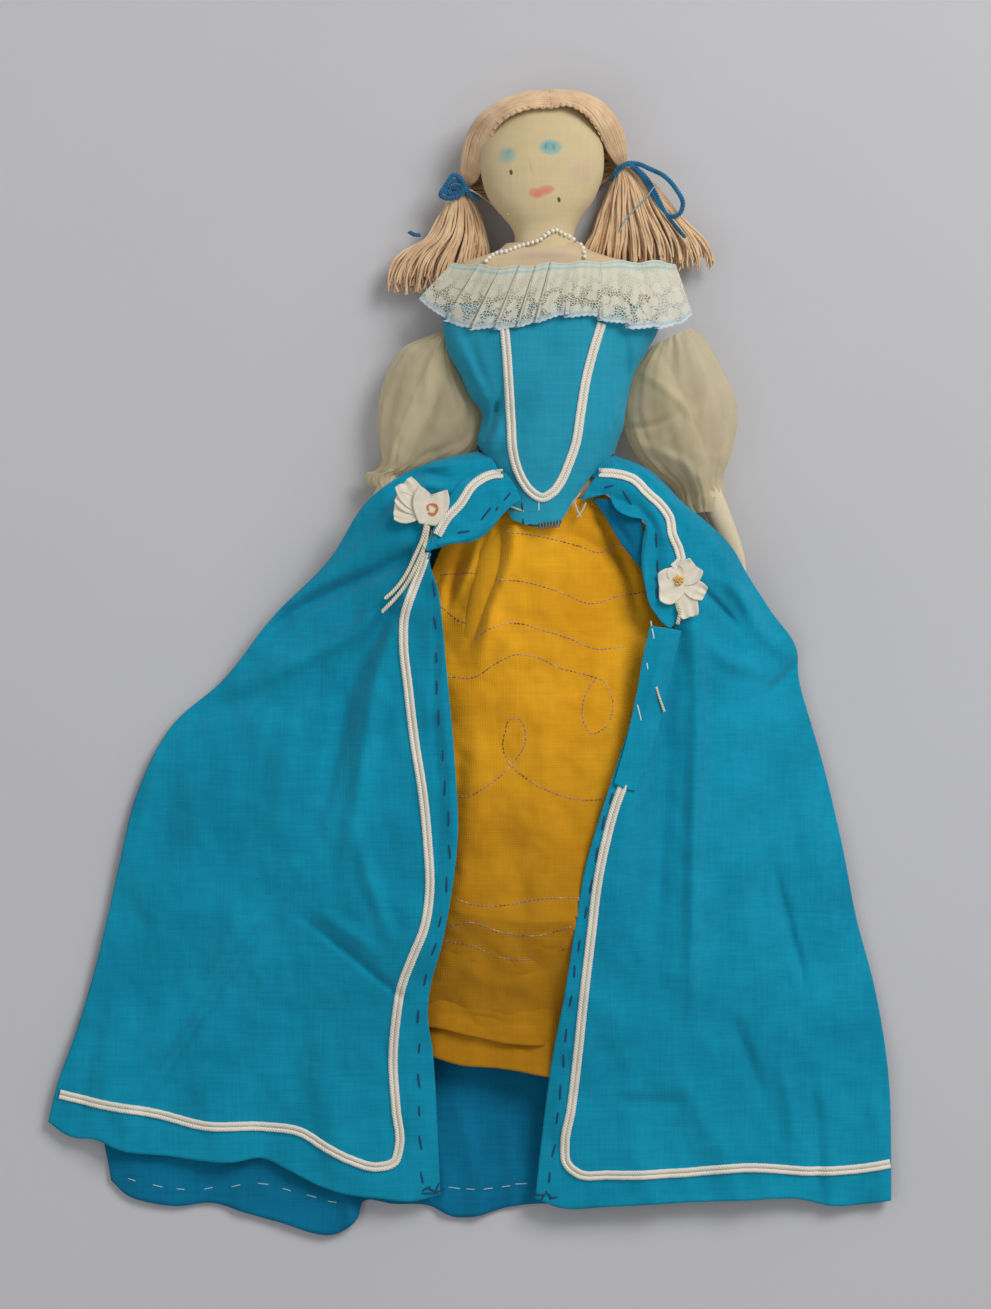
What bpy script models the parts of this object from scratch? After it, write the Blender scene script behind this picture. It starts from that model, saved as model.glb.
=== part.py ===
"""A topsy turvy doll of cotton cloth, lying on its back as it is stored.

Two stuffed dolls are sewn together at one waist. The first lies head up (+Y),
the second lies upside down under the skirt. The origin is on the table, under
the middle of the doll, with +Z up out of its chest. Every length is in metres.
"""
import math

import bmesh
import bpy
from mathutils import Vector
from mathutils.bvhtree import BVHTree

for old in list(bpy.data.objects):
    bpy.data.objects.remove(old, do_unlink=True)

# Where the shared waist lies
BODY_X = 0.0304
WAIST_Y = 0.0595

# The first doll's stuffed body
TORSO_LENGTH = 0.110
CHEST_WIDTH = 0.087
TORSO_DEPTH = 0.036
HEAD_WIDTH = 0.049
HEAD_LENGTH = 0.053
HEAD_DEPTH = 0.031
HEAD_LIFT = 0.0027
ARM_LENGTH = 0.093
ARM_WIDTH = 0.0115
ARM_DEPTH = 0.0095
ARM_REST_HEIGHT = 0.0095
SHOULDER_REACH = 0.0425
SHOULDER_HEIGHT = 0.0655

# The second doll's stuffed body
SECOND_DEPTH = 0.022
SECOND_CHEST_WIDTH = 0.070
SECOND_HEAD_WIDTH = 0.046
SECOND_ARM_LENGTH = 0.078
SECOND_SPLAY = 0.2
SECOND_LEAN = math.radians(3.5)
SECOND_SHOULDER_REACH = 0.043
SECOND_SHOULDER_HEIGHT = 0.079

# Cloth thicknesses, and the gap between pieces that touch
COTTON = 0.0012
FINE_COTTON = 0.0008
ORGANZA = 0.0007
LACE = 0.0008
GAP = 0.0004
FLAT_CUT = 0.0005

# Hair
HAIR_DEPTH = 0.0032
HAIR_ROLL = 0.0088
PIGTAIL_LENGTH = 0.044
PIGTAIL_WIDTH = 0.041
PIGTAIL_DEPTH = 0.017
TIE_REACH = 0.0365
TIE_HEIGHT = 0.1305
TIE_STEP = 0.0057
PIGTAIL_SPREAD = math.radians(21)
BOW_CORD = 0.0013

# Sleeves
SLEEVE_WIDTH = 0.040
SLEEVE_DEPTH = 0.020
SLEEVE_TOP = 0.0195
SHOULDER_RADIUS = 0.0092
ARMHOLE_CLEARANCE = 0.0006

# Lace, braid, pearls and flowers
LACE_DROP = 0.0265
LACE_WIDTH = 0.100
LACE_FLARE = 0.012
LACE_END_HEIGHT = 0.0205
LACE_GAP = 0.00056
PLEAT_DEPTH = 0.0007
BRAID_WIDTH = 0.0038
BRAID_THICKNESS = 0.0012
PEARL = 0.0021
FLOWER_WIDTH = 0.0185
FLOWER_THICKNESS = 0.0012
STEM_CORD = 0.0013

# Skirts
SKIRT_WIDTH = 0.342
SKIRT_LENGTH = 0.288
PETTICOAT_WIDTH = 0.140
PETTICOAT_LENGTH = 0.209
LINING_DROP = 0.0068
ELASTIC = 0.0014
SKIRT_FOLD = 0.0012
SIDE_BULGE = 0.0022
FRONT_BULGE = 0.0012
SWAG_BULGE = 0.0015
PETTICOAT_TOP_Y = 0.0046

# Heights of the layers, from the table up
BACK_TOP = COTTON
PETTICOAT_BASE = BACK_TOP + GAP + FINE_COTTON + GAP
SECOND_MIDDLE = PETTICOAT_BASE + COTTON + GAP + SECOND_DEPTH / 2
PETTICOAT_HEIGHT = SECOND_MIDDLE + SECOND_DEPTH / 2 + COTTON + SKIRT_FOLD + 2 * FINE_COTTON + 4 * GAP
SKIRT_HEIGHT = PETTICOAT_HEIGHT + COTTON + GAP

UP = Vector((0, 0, 1))
ROUND_SIDES = 20
# How a braid swells over its width, and how far along it feels for the cloth
BRAID_SWELL_SHARES = (0.6, 1, 0.6)
BRAID_REACH_SHARES = (-0.25, 0, 0.25)


def painted(name, colour, roughness):
    """Give one cloth or trim its colour (sRGB) and roughness."""
    material = bpy.data.materials.new(name)
    material.use_nodes = True
    shader = material.node_tree.nodes["Principled BSDF"]
    linear = [(share / 12.92) if share <= 0.04045 else ((share + 0.055) / 1.055) ** 2.4 for share in colour]
    shader.inputs["Base Color"].default_value = (*linear, 1)
    shader.inputs["Roughness"].default_value = roughness
    return material


MUSLIN = painted("muslin", (0.83, 0.78, 0.65), 0.9)
YARN = painted("cotton_yarn", (0.85, 0.70, 0.55), 0.85)
TURQUOISE = painted("turquoise_cotton", (0.11, 0.56, 0.70), 0.85)
YELLOW = painted("yellow_cotton", (0.87, 0.64, 0.13), 0.8)
ORGANZA_CLOTH = painted("organza", (0.75, 0.70, 0.60), 0.6)
LACE_CLOTH = painted("lace", (0.85, 0.87, 0.83), 0.9)
SOUTACHE = painted("soutache_braid", (0.90, 0.87, 0.80), 0.6)
BLUE_CORD = painted("blue_cord", (0.05, 0.43, 0.65), 0.5)
PEARL_GLASS = painted("pearl", (0.90, 0.86, 0.78), 0.25)
PETAL = painted("petal_ribbon", (0.88, 0.83, 0.72), 0.7)
WHITE_THREAD = painted("white_elastic", (0.88, 0.88, 0.85), 0.8)


def finish(bm, name, material, smooth=True):
    """Turn a bmesh into a named object that faces outwards."""
    bmesh.ops.recalc_face_normals(bm, faces=bm.faces)
    mesh = bpy.data.meshes.new(name)
    bm.to_mesh(mesh)
    bm.free()
    mesh.materials.append(material)
    if smooth:
        mesh.shade_smooth()
    piece = bpy.data.objects.new(name, mesh)
    bpy.context.collection.objects.link(piece)
    return piece


def section_place(turn, fullness=2.3):
    """Share of the half width and half depth at a turn; fullness 2 is an ellipse, more is squarer."""
    cosine, sine = math.cos(turn), math.sin(turn)
    return (math.copysign(abs(cosine) ** (2 / fullness), cosine),
            math.copysign(abs(sine) ** (2 / fullness), sine))


def oval(centre, across, half_width, half_depth, sides=ROUND_SIDES, fullness=2.3):
    """Points round one flattened section."""
    ring = []
    for step in range(sides):
        wide, deep = section_place(math.tau * step / sides, fullness)
        ring.append(centre + across * (wide * half_width) + UP * (deep * half_depth))
    return ring


def loft(rings, close_start=True, close_end=True):
    """Extrude a first ring of points from place to place, and cap its ends."""
    bm = bmesh.new()
    front = bmesh.ops.create_circle(bm, cap_ends=False, segments=len(rings[0]), radius=1)["verts"]
    for vert, place in zip(front, rings[0]):
        vert.co = place
    if close_start:
        bmesh.ops.contextual_create(bm, geom=front)
    edges = [bm.edges.get((a, b)) for a, b in zip(front, front[1:] + front[:1])]
    for ring in rings[1:]:
        grown = bmesh.ops.extrude_edge_only(bm, edges=edges)["geom"]
        new = {item for item in grown if isinstance(item, bmesh.types.BMVert)}
        front = [next(edge.other_vert(vert) for edge in vert.link_edges if edge.other_vert(vert) in new)
                 for vert in front]
        for vert, place in zip(front, ring):
            vert.co = place
        edges = [bm.edges.get((a, b)) for a, b in zip(front, front[1:] + front[:1])]
    if close_end:
        bmesh.ops.contextual_create(bm, geom=front)
    return bm


def cut_flat(bm, height=0.0):
    """Cut a stuffed form flat where it lies, and close the cut."""
    bmesh.ops.bisect_plane(bm, geom=bm.verts[:] + bm.edges[:] + bm.faces[:], plane_co=UP * height,
                           plane_no=UP, clear_inner=True)
    bmesh.ops.holes_fill(bm, edges=[edge for edge in bm.edges if edge.is_boundary], sides=0)


def lerp_table(table, at):
    """Read a table of rows (place, value, value, ...) with straight lines between its rows."""
    for low, high in zip(table, table[1:]):
        if at <= high[0]:
            part = max(0.0, (at - low[0]) / (high[0] - low[0]))
            return [a + (b - a) * part for a, b in zip(low[1:], high[1:])]
    return list(table[-1][1:])


def smooth_table(table, at):
    """Read such a table with a smooth curve through its rows."""
    last = len(table) - 1
    index = next((i for i in range(last) if at <= table[i + 1][0]), last - 1)
    before, low, high, after = (table[max(0, min(last, index + step))] for step in (-1, 0, 1, 2))
    span = high[0] - low[0]
    part = min(1.0, max(0.0, (at - low[0]) / span))
    values = []
    for value in range(1, len(low)):
        slope_low = (high[value] - before[value]) / (high[0] - before[0]) * span
        slope_high = (after[value] - low[value]) / (after[0] - low[0]) * span
        near = ((2 * part ** 3 - 3 * part ** 2 + 1) * low[value]
                + (part ** 3 - 2 * part ** 2 + part) * slope_low)
        far = (3 * part ** 2 - 2 * part ** 3) * high[value] + (part ** 3 - part ** 2) * slope_high
        values.append(near + far)
    return values


def in_rows(points):
    """Number a list of points evenly from 0 to 1, so that a table reads by row."""
    return [(row / (len(points) - 1), *point) for row, point in enumerate(points)]


def sheet(name, columns, rows, place, thickness, material):
    """A piece of cloth: a grid laid out by place(across, along), thickened downwards."""
    bm = bmesh.new()
    bmesh.ops.create_grid(bm, x_segments=columns, y_segments=rows, size=1)
    for vert in bm.verts:
        vert.co = place((vert.co.x + 1) / 2, (1 - vert.co.y) / 2)
    bm.normal_update()
    if sum(face.normal.z * face.calc_area() for face in bm.faces) < 0:
        bmesh.ops.reverse_faces(bm, faces=bm.faces)
    mesh = bpy.data.meshes.new(name)
    bm.to_mesh(mesh)
    bm.free()
    mesh.materials.append(material)
    mesh.shade_smooth()
    piece = bpy.data.objects.new(name, mesh)
    bpy.context.collection.objects.link(piece)
    wall = piece.modifiers.new("cloth", "SOLIDIFY")
    wall.thickness = thickness
    wall.offset = -1
    return piece


def top_of(*pieces):
    """The upper surfaces of finished pieces, to seat trims on them."""
    bpy.context.view_layer.update()
    graph = bpy.context.evaluated_depsgraph_get()
    return [BVHTree.FromObject(piece, graph) for piece in pieces]


def seat(trees, x, y):
    """The highest point of the pieces below a place in plan."""
    start = Vector((x, y, TORSO_DEPTH * 3))
    hits = [tree.ray_cast(start, -UP)[0] for tree in trees]
    return max((hit.z for hit in hits if hit), default=0.0)


def cord(name, points, thickness, material, closed=False, beads=None):
    """A round cord or a beaded string along a list of points."""
    curve = bpy.data.curves.new(name, "CURVE")
    curve.dimensions = "3D"
    curve.bevel_depth = thickness / 2
    curve.bevel_resolution = 1
    curve.use_fill_caps = True
    line = curve.splines.new("POLY")
    line.points.add(len(points) - 1)
    for index, (knot, point) in enumerate(zip(line.points, points)):
        knot.co = (*point, 1)
        knot.radius = beads[index % len(beads)] if beads else 1
    line.use_cyclic_u = closed
    curve.materials.append(material)
    piece = bpy.data.objects.new(name, curve)
    bpy.context.collection.objects.link(piece)
    return piece


def braid(name, trees, table, steps, plan):
    """Flat soutache laid along a line in plan, each of its edges seated on the cloth."""
    middle = [Vector((*plan(*smooth_table(table, step / steps)), 0)) for step in range(steps + 1)]
    rings = []
    for index, point in enumerate(middle):
        ahead = middle[min(index + 1, steps)] - middle[max(index - 1, 0)]
        side = Vector((ahead.y, -ahead.x, 0)).normalized() * (BRAID_WIDTH / 2)
        places = [point - side, point, point + side]
        heights = [max(seat(trees, *(place + ahead * reach).xy) for reach in BRAID_REACH_SHARES) + GAP
                   for place in places]
        low = [place + UP * height for place, height in zip(places, heights)]
        high = [place + UP * (height + BRAID_THICKNESS * swell)
                for place, height, swell in zip(places, heights, BRAID_SWELL_SHARES)]
        rings.append(low + high[::-1])
    return finish(loft(rings), name, SOUTACHE)


def doll_point(x, y, z=0.0):
    """A place given from the first doll's waist, up its body."""
    return Vector((BODY_X + x, WAIST_Y + y, z))


def second_point(x, y, z=0.0):
    """A place given from the waist up the second doll's body, which points down the skirt."""
    return Vector((BODY_X - x * math.cos(SECOND_LEAN) - y * math.sin(SECOND_LEAN),
                   WAIST_Y + x * math.sin(SECOND_LEAN) - y * math.cos(SECOND_LEAN), z))


def skirt_plan(across, down):
    """A place on the skirt, in shares of its width and length from the waist."""
    return BODY_X + across * SKIRT_WIDTH, WAIST_Y - down * SKIRT_LENGTH


def skirt_point(across, down, height):
    """The same with a height, in shares of the skirt's height."""
    return Vector((*skirt_plan(across, down), height * SKIRT_HEIGHT))


# Stuffed bodies: rows of (up the torso, half width, half depth), in shares of the torso's sizes
TORSO_SHARES = [(0, 0.60, 0.80), (0.20, 0.62, 0.90), (0.36, 0.62, 0.95), (0.52, 0.74, 1.0),
                (0.68, 1.0, 1.0),
                (0.80, 0.95, 0.94), (0.90, 0.62, 0.80), (0.96, 0.42, 0.62), (1, 0.34, 0.50)]
# Rows of (up the head, half width, half depth)
HEAD_SHARES = [(0, 0.52, 0.50), (0.06, 0.48, 0.50), (0.14, 0.60, 0.60), (0.22, 0.78, 0.78),
               (0.36, 0.93, 0.93),
               (0.56, 1.0, 1.0), (0.74, 0.95, 0.97), (0.86, 0.80, 0.85), (0.94, 0.56, 0.62),
               (1, 0.20, 0.25)]
TORSO_INSET = COTTON + GAP
TORSO_MIDDLE = TORSO_DEPTH / 2 - FLAT_CUT
NECK_Y = TORSO_LENGTH + GAP
TORSO_ROWS = 13
BODICE_SIDES = 32
ARMHOLE_RADIUS = SHOULDER_RADIUS + ARMHOLE_CLEARANCE
# The bodice's top edge, its side edge and how far its point drops, up the torso
BODICE_TOP_SHARE, BODICE_SIDE_SHARE, BODICE_POINT_SHARE = 0.76, 0.20, 0.045
BODICE_ROWS = 9
BODICE_EDGE_POWER = 0.95
# Rows of (up to the crown, swell) of the hair, and where the face opening lies up the head
HOOD_SHARES = [(0.34, 0.86), (0.46, 0.96), (0.60, 1.0), (0.76, 0.97), (0.88, 0.86), (0.96, 0.68),
               (1.0, 0.52)]
CROWN_SHARE, FACE_MIDDLE_SHARE, FACE_REACH_SHARE = 0.62, 0.54, 0.44
# Rows of (up the head, swell) of the second doll's hair
SECOND_HAIR_SHARES = [(1.015, 0.42), (1.05, 0.62), (1.09, 0.66), (1.13, 0.5), (1.155, 0.2)]
# The necklace up the torso and how much it dips in front, and its count of pearls
NECKLACE_SHARE, NECKLACE_DIP_SHARE, PEARL_COUNT = 0.985, 0.035, 40
# The lace's top edge up the torso, how far it falls away there, and its pleats
LACE_TOP_SHARE, LACE_FALL_SHARE, PLEAT_COUNT = 0.93, 0.10, 12


def torso_section(rise, inset=0.0):
    """Half width and half depth of the dressed first body at a height above the waist."""
    width, depth = smooth_table(TORSO_SHARES, min(max(rise / TORSO_LENGTH, 0), 1))
    return width * CHEST_WIDTH / 2 - inset, depth * TORSO_DEPTH / 2 - inset


def cut_armholes(piece):
    """Hollow a piece from below for the shoulders, which turn there."""
    for side in (-1, 1):
        bm = bmesh.new()
        bmesh.ops.create_cone(bm, cap_ends=True, segments=ROUND_SIDES, radius1=ARMHOLE_RADIUS,
                              radius2=ARMHOLE_RADIUS, depth=2 * (SLEEVE_TOP + ARMHOLE_CLEARANCE))
        bmesh.ops.translate(bm, verts=bm.verts, vec=doll_point(side * SHOULDER_REACH, SHOULDER_HEIGHT))
        cutter = finish(bm, piece.name + "_armhole_cutter", MUSLIN)
        cutter.hide_render = True
        cutter.display_type = "WIRE"
        cut = piece.modifiers.new("armhole", "BOOLEAN")
        cut.operation = "DIFFERENCE"
        cut.solver = "EXACT"
        cut.object = cutter


def make_torso():
    """The first doll's stuffed chest, inside the bodice."""
    rings = []
    for row in range(TORSO_ROWS + 1):
        rise = TORSO_LENGTH * row / TORSO_ROWS
        half_width, half_depth = torso_section(rise, TORSO_INSET)
        rings.append(oval(doll_point(0, rise, TORSO_MIDDLE), Vector((1, 0, 0)), half_width, half_depth))
    piece = finish(loft(rings), "torso", MUSLIN)
    cut_armholes(piece)


def make_bodice():
    """The fitted bodice: a tube round the torso whose lower edge runs to a point in front."""
    top_rise = TORSO_LENGTH * BODICE_TOP_SHARE
    side_rise = TORSO_LENGTH * BODICE_SIDE_SHARE
    point_drop = TORSO_LENGTH * BODICE_POINT_SHARE
    rings = {"outer": [], "inner": []}
    for skin, inset in (("outer", 0.0), ("inner", COTTON)):
        for row in range(BODICE_ROWS + 1):
            ring = []
            for step in range(BODICE_SIDES):
                turn = math.tau * step / BODICE_SIDES
                in_front = 0 < step < BODICE_SIDES / 2
                slant = 1 - abs(math.cos(turn)) ** BODICE_EDGE_POWER if in_front else 0.0
                edge = side_rise - (side_rise + point_drop) * slant
                rise = edge + (top_rise - edge) * row / BODICE_ROWS
                half_width, half_depth = torso_section(rise, inset)
                wide, deep = section_place(turn)
                ring.append(doll_point(wide * half_width, rise, TORSO_MIDDLE + deep * half_depth))
            rings[skin].append(ring)
    wall = rings["outer"] + rings["inner"][::-1]
    bm = loft(wall + [wall[0]], close_start=False, close_end=False)
    bmesh.ops.remove_doubles(bm, verts=bm.verts, dist=GAP / 100)
    cut_flat(bm)
    piece = finish(bm, "bodice", TURQUOISE)
    cut_armholes(piece)
    return piece


def make_head():
    """The stuffed head and neck, cut flat where they lie on the hair."""
    rings = []
    for up, width, depth in HEAD_SHARES:
        middle = HEAD_LIFT + HEAD_DEPTH / 2
        rings.append(oval(doll_point(0, NECK_Y + up * HEAD_LENGTH, middle), Vector((1, 0, 0)),
                          width * HEAD_WIDTH / 2, depth * HEAD_DEPTH / 2, fullness=2.15))
    return finish(loft(rings), "head", MUSLIN)


def make_hair_cap():
    """Yarn laid over the head from side to side: a hood with the face left open."""
    middle = HEAD_LIFT + HEAD_DEPTH / 2
    outer = []
    crown = NECK_Y + HEAD_LENGTH + HAIR_ROLL * CROWN_SHARE
    for up, swell in HOOD_SHARES:
        outer.append(oval(doll_point(0, NECK_Y + (crown - NECK_Y) * up, middle), Vector((1, 0, 0)),
                          swell * (HEAD_WIDTH / 2 + HAIR_ROLL), swell * (HEAD_DEPTH / 2 + HAIR_DEPTH),
                          fullness=2.1))
    bm = loft(outer)
    cut_flat(bm)
    piece = finish(bm, "hair_cap", YARN)
    skull, face = [], []
    for up, width, depth in HEAD_SHARES:
        skull.append(oval(doll_point(0, NECK_Y + up * (HEAD_LENGTH + GAP), middle), Vector((1, 0, 0)),
                          width * HEAD_WIDTH / 2 + GAP, depth * HEAD_DEPTH / 2 + GAP, fullness=2.15))
    face_middle, face_reach = NECK_Y + HEAD_LENGTH * FACE_MIDDLE_SHARE, HEAD_LENGTH * FACE_REACH_SHARE
    for height in (middle, middle + HEAD_DEPTH):
        face.append([doll_point(math.cos(turn) * (HEAD_WIDTH / 2 + GAP),
                                face_middle + face_reach * math.sin(turn), height)
                     for turn in (math.tau * step / ROUND_SIDES for step in range(ROUND_SIDES))])
    for label, rings in (("skull", skull), ("face", face)):
        cutter = finish(loft(rings), "hair_" + label + "_cutter", YARN)
        cutter.hide_render = True
        cutter.display_type = "WIRE"
        cut = piece.modifiers.new(label, "BOOLEAN")
        cut.operation = "DIFFERENCE"
        cut.solver = "EXACT"
        cut.object = cutter
    return piece


# Rows of (along the pigtail, half width, height of its middle) in shares of its sizes
PIGTAIL_SHARES = [(0, 0.26, 0.78), (0.12, 0.36, 0.76), (0.35, 0.62, 0.64), (0.6, 0.84, 0.48),
                  (0.85, 1.0, 0.38),
                  (1, 0.90, 0.37)]
LEFT_TIE = doll_point(-TIE_REACH, TIE_HEIGHT)
RIGHT_TIE = doll_point(TIE_REACH, TIE_HEIGHT + TIE_STEP)


def make_pigtail(name, tie, heading, length, width):
    """One tail of yarn from its tie, flaring to a loose end."""
    along = Vector((math.sin(heading), -math.cos(heading), 0))
    across = Vector((-along.y, along.x, 0))
    rings = []
    for part, half, height in PIGTAIL_SHARES:
        centre = tie + along * (part * length)
        centre.z = height * PIGTAIL_DEPTH
        rings.append(oval(centre, across, half * width / 2, min(half, 0.8) * PIGTAIL_DEPTH / 2,
                          fullness=2.4,
                          sides=16))
    bm = loft(rings)
    cut_flat(bm)
    return finish(bm, name, YARN)


# Arms: rows of (down the arm, step outwards, half width, half depth), in shares of the arm's sizes
ARM_SHARES = [(-0.045, 0.0, 0.45, 0.45), (0.02, 0.0, 0.92, 0.95), (0.20, 0.07, 1.0, 1.0),
              (0.42, 0.15, 0.94, 0.96),
              (0.62, 0.22, 0.84, 0.86), (0.74, 0.28, 0.86, 0.84), (0.86, 0.35, 1.06, 0.88),
              (0.95, 0.41, 0.86, 0.72),
              (1.0, 0.44, 0.40, 0.40)]
# Sleeves: rows of (down the arm, step outwards, half width, half depth, height of the middle)
SLEEVE_SHARES = [(-0.085, 0.0, 0.20, 0.35, 0.53), (-0.05, 0.0, 0.375, 0.66, 0.53),
                 (0.03, 0.01, 0.44, 0.82, 0.53),
                 (0.14, 0.06, 0.72, 0.94, 0.53), (0.28, 0.13, 0.96, 1.0, 0.53),
                 (0.42, 0.17, 0.98, 1.0, 0.53),
                 (0.54, 0.20, 0.72, 0.92, 0.51), (0.61, 0.235, 0.40, 0.72, 0.48),
                 (0.66, 0.25, 0.35, 0.66, 0.475)]


def limb_rings(table, side, length, half_width, half_depth, middle, origin, sides, splay=1):
    """Rings down one arm or sleeve, each square to the way it runs."""
    places = [origin(side * step * length * splay, -down * length) for down, step, *_ in table]
    rings = []
    for index, row in enumerate(table):
        run = places[min(index + 1, len(places) - 1)] - places[max(index - 1, 0)]
        across = Vector((run.y, -run.x, 0)).normalized() * -side
        height = middle if len(row) < 5 else row[4] * middle * 2
        centre = Vector((places[index].x, places[index].y, height))
        rings.append(oval(centre, across, row[2] * half_width, row[3] * half_depth, sides=sides))
    return rings


def hang_on_axis(piece, pivot):
    """Put a moving piece's origin on its joint's axis without moving the piece."""
    for vert in piece.data.vertices:
        vert.co -= pivot
    piece.location = pivot


def make_arm(label, side):
    """One stuffed arm with its mitten hand, and the organza puff over it."""
    pivot = doll_point(side * SHOULDER_REACH, SHOULDER_HEIGHT)

    def from_shoulder(x, y):
        return pivot + Vector((x, y, 0))

    arm = finish(loft(limb_rings(ARM_SHARES, side, ARM_LENGTH, ARM_WIDTH / 2, ARM_DEPTH / 2,
                                 ARM_REST_HEIGHT,
                                 from_shoulder, 16)), "arm_" + label, MUSLIN)
    hang_on_axis(arm, pivot)
    bm = loft(limb_rings(SLEEVE_SHARES, side, ARM_LENGTH, SLEEVE_WIDTH / 2, SLEEVE_DEPTH / 2,
                         SLEEVE_DEPTH / 2,
                         from_shoulder, ROUND_SIDES), close_end=False)
    sleeve = finish(bm, "sleeve_" + label, ORGANZA_CLOTH)
    hang_on_axis(sleeve, pivot)
    wall = sleeve.modifiers.new("organza", "SOLIDIFY")
    wall.thickness = ORGANZA
    wall.offset = -1


def make_necklace():
    """Seed pearls on a thread, lying loosely round the neck."""
    points = []
    for step in range(PEARL_COUNT * 2):
        turn = math.tau * step / (PEARL_COUNT * 2)
        rise = TORSO_LENGTH * (NECKLACE_SHARE - NECKLACE_DIP_SHARE * math.sin(turn))
        half_width, half_depth = torso_section(rise, TORSO_INSET - PEARL / 2 - 4 * GAP)
        wide, deep = section_place(turn)
        points.append(doll_point(wide * half_width, rise, TORSO_MIDDLE + deep * half_depth))
    cord("pearl_necklace", points, PEARL, PEARL_GLASS, closed=True, beads=(1, 0.35))


def make_lace():
    """Gathered lace lying over the chest and out past the shoulders."""
    top_rise = TORSO_LENGTH * LACE_TOP_SHARE

    def place(across, along):
        width = LACE_WIDTH + LACE_FLARE * along
        x = (across - 0.5) * width
        y = top_rise - LACE_DROP * along
        spread = abs(across - 0.5) * 2
        crest = TORSO_DEPTH + LACE + LACE_GAP - TORSO_DEPTH * LACE_FALL_SHARE * (1 - along) ** 2
        height = crest + (LACE_END_HEIGHT + LACE - crest) * spread ** 3
        pleat = PLEAT_DEPTH * (1 + math.cos(across * math.tau * PLEAT_COUNT)) * (0.4 + 0.6 * along)
        return doll_point(x, y, height + pleat)

    sheet("lace_collar", 48, 4, place, LACE, LACE_CLOTH)


make_torso()
bodice = make_bodice()
make_head()
make_hair_cap()
make_pigtail("pigtail_left", LEFT_TIE, -PIGTAIL_SPREAD, PIGTAIL_LENGTH, PIGTAIL_WIDTH * 0.82)
make_pigtail("pigtail_right", RIGHT_TIE, PIGTAIL_SPREAD, PIGTAIL_LENGTH * 0.8, PIGTAIL_WIDTH)
make_arm("left", -1)
make_arm("right", 1)
make_necklace()
make_lace()

# Bodice braid: a U of soutache, in shares of half the chest's width and of the torso's length
BODICE_BRAID_SHARES = in_rows([(-0.40, 0.69), (-0.36, 0.42), (-0.33, 0.22), (-0.22, 0.11), (0.0, 0.04),
                               (0.22, 0.10), (0.36, 0.24), (0.52, 0.46), (0.64, 0.69)])
braid("bodice_braid", top_of(bodice), BODICE_BRAID_SHARES, 34,
      lambda across, up: doll_point(across * CHEST_WIDTH / 2 - CHEST_WIDTH * 0.05, up * TORSO_LENGTH).xy)


# The second doll's body, head and arms, upside down under the skirt
SECOND_ACROSS = Vector((-math.cos(SECOND_LEAN), math.sin(SECOND_LEAN), 0))


def make_second_doll():
    """Torso, bodice, head, hair and arms of the hidden doll."""
    rings = []
    waist_width, waist_depth = TORSO_SHARES[0][1:]
    start = GAP + math.sin(SECOND_LEAN) * waist_width * CHEST_WIDTH / 2
    for row in range(TORSO_ROWS + 1):
        up = row / TORSO_ROWS
        width, depth = smooth_table(TORSO_SHARES, up)
        rings.append(oval(second_point(0, start + up * TORSO_LENGTH, SECOND_MIDDLE), SECOND_ACROSS,
                          width * SECOND_CHEST_WIDTH / 2, depth * SECOND_DEPTH / 2, sides=16))
    finish(loft(rings), "second_torso", MUSLIN)
    skins = []
    for inset in (FINE_COTTON + GAP * 2, GAP * 2):
        skin = []
        for row in range(10):
            up = 0.06 + 0.70 * row / 9
            width, depth = smooth_table(TORSO_SHARES, up)
            skin.append(oval(second_point(0, start + up * TORSO_LENGTH, SECOND_MIDDLE), SECOND_ACROSS,
                             width * SECOND_CHEST_WIDTH / 2 + inset, depth * SECOND_DEPTH / 2 + inset,
                             sides=20))
        skins.append(skin)
    wall = skins[0] + skins[1][::-1]
    bm = loft(wall + [wall[0]], close_start=False, close_end=False)
    bmesh.ops.remove_doubles(bm, verts=bm.verts, dist=GAP / 100)
    finish(bm, "second_bodice", YELLOW)

    neck = start + TORSO_LENGTH + GAP
    rings = []
    for up, width, depth in HEAD_SHARES:
        rings.append(oval(second_point(0, neck + up * HEAD_LENGTH, SECOND_MIDDLE), SECOND_ACROSS,
                          width * SECOND_HEAD_WIDTH / 2, depth * SECOND_DEPTH / 2, sides=16,
                          fullness=2.15))
    finish(loft(rings), "second_head", MUSLIN)
    rings = []
    for up, swell in SECOND_HAIR_SHARES:
        rings.append(oval(second_point(0, neck + up * HEAD_LENGTH, SECOND_MIDDLE), SECOND_ACROSS,
                          swell * SECOND_HEAD_WIDTH / 2, swell * SECOND_DEPTH / 2, sides=16))
    finish(loft(rings), "second_hair_knot", YARN)

    for label, side in (("left", 1), ("right", -1)):
        pivot = second_point(side * SECOND_SHOULDER_REACH, SECOND_SHOULDER_HEIGHT)

        def from_shoulder(x, y):
            return pivot + SECOND_ACROSS * x + Vector((-math.sin(SECOND_LEAN), -math.cos(SECOND_LEAN),
                                                       0)) * -y

        rings = limb_rings(ARM_SHARES, side, SECOND_ARM_LENGTH, ARM_WIDTH / 2, ARM_DEPTH / 2,
                           PETTICOAT_BASE + GAP + ARM_DEPTH / 2, from_shoulder, 12, SECOND_SPLAY)
        arm = finish(loft(rings), "second_arm_" + label, MUSLIN)
        hang_on_axis(arm, pivot)


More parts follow.
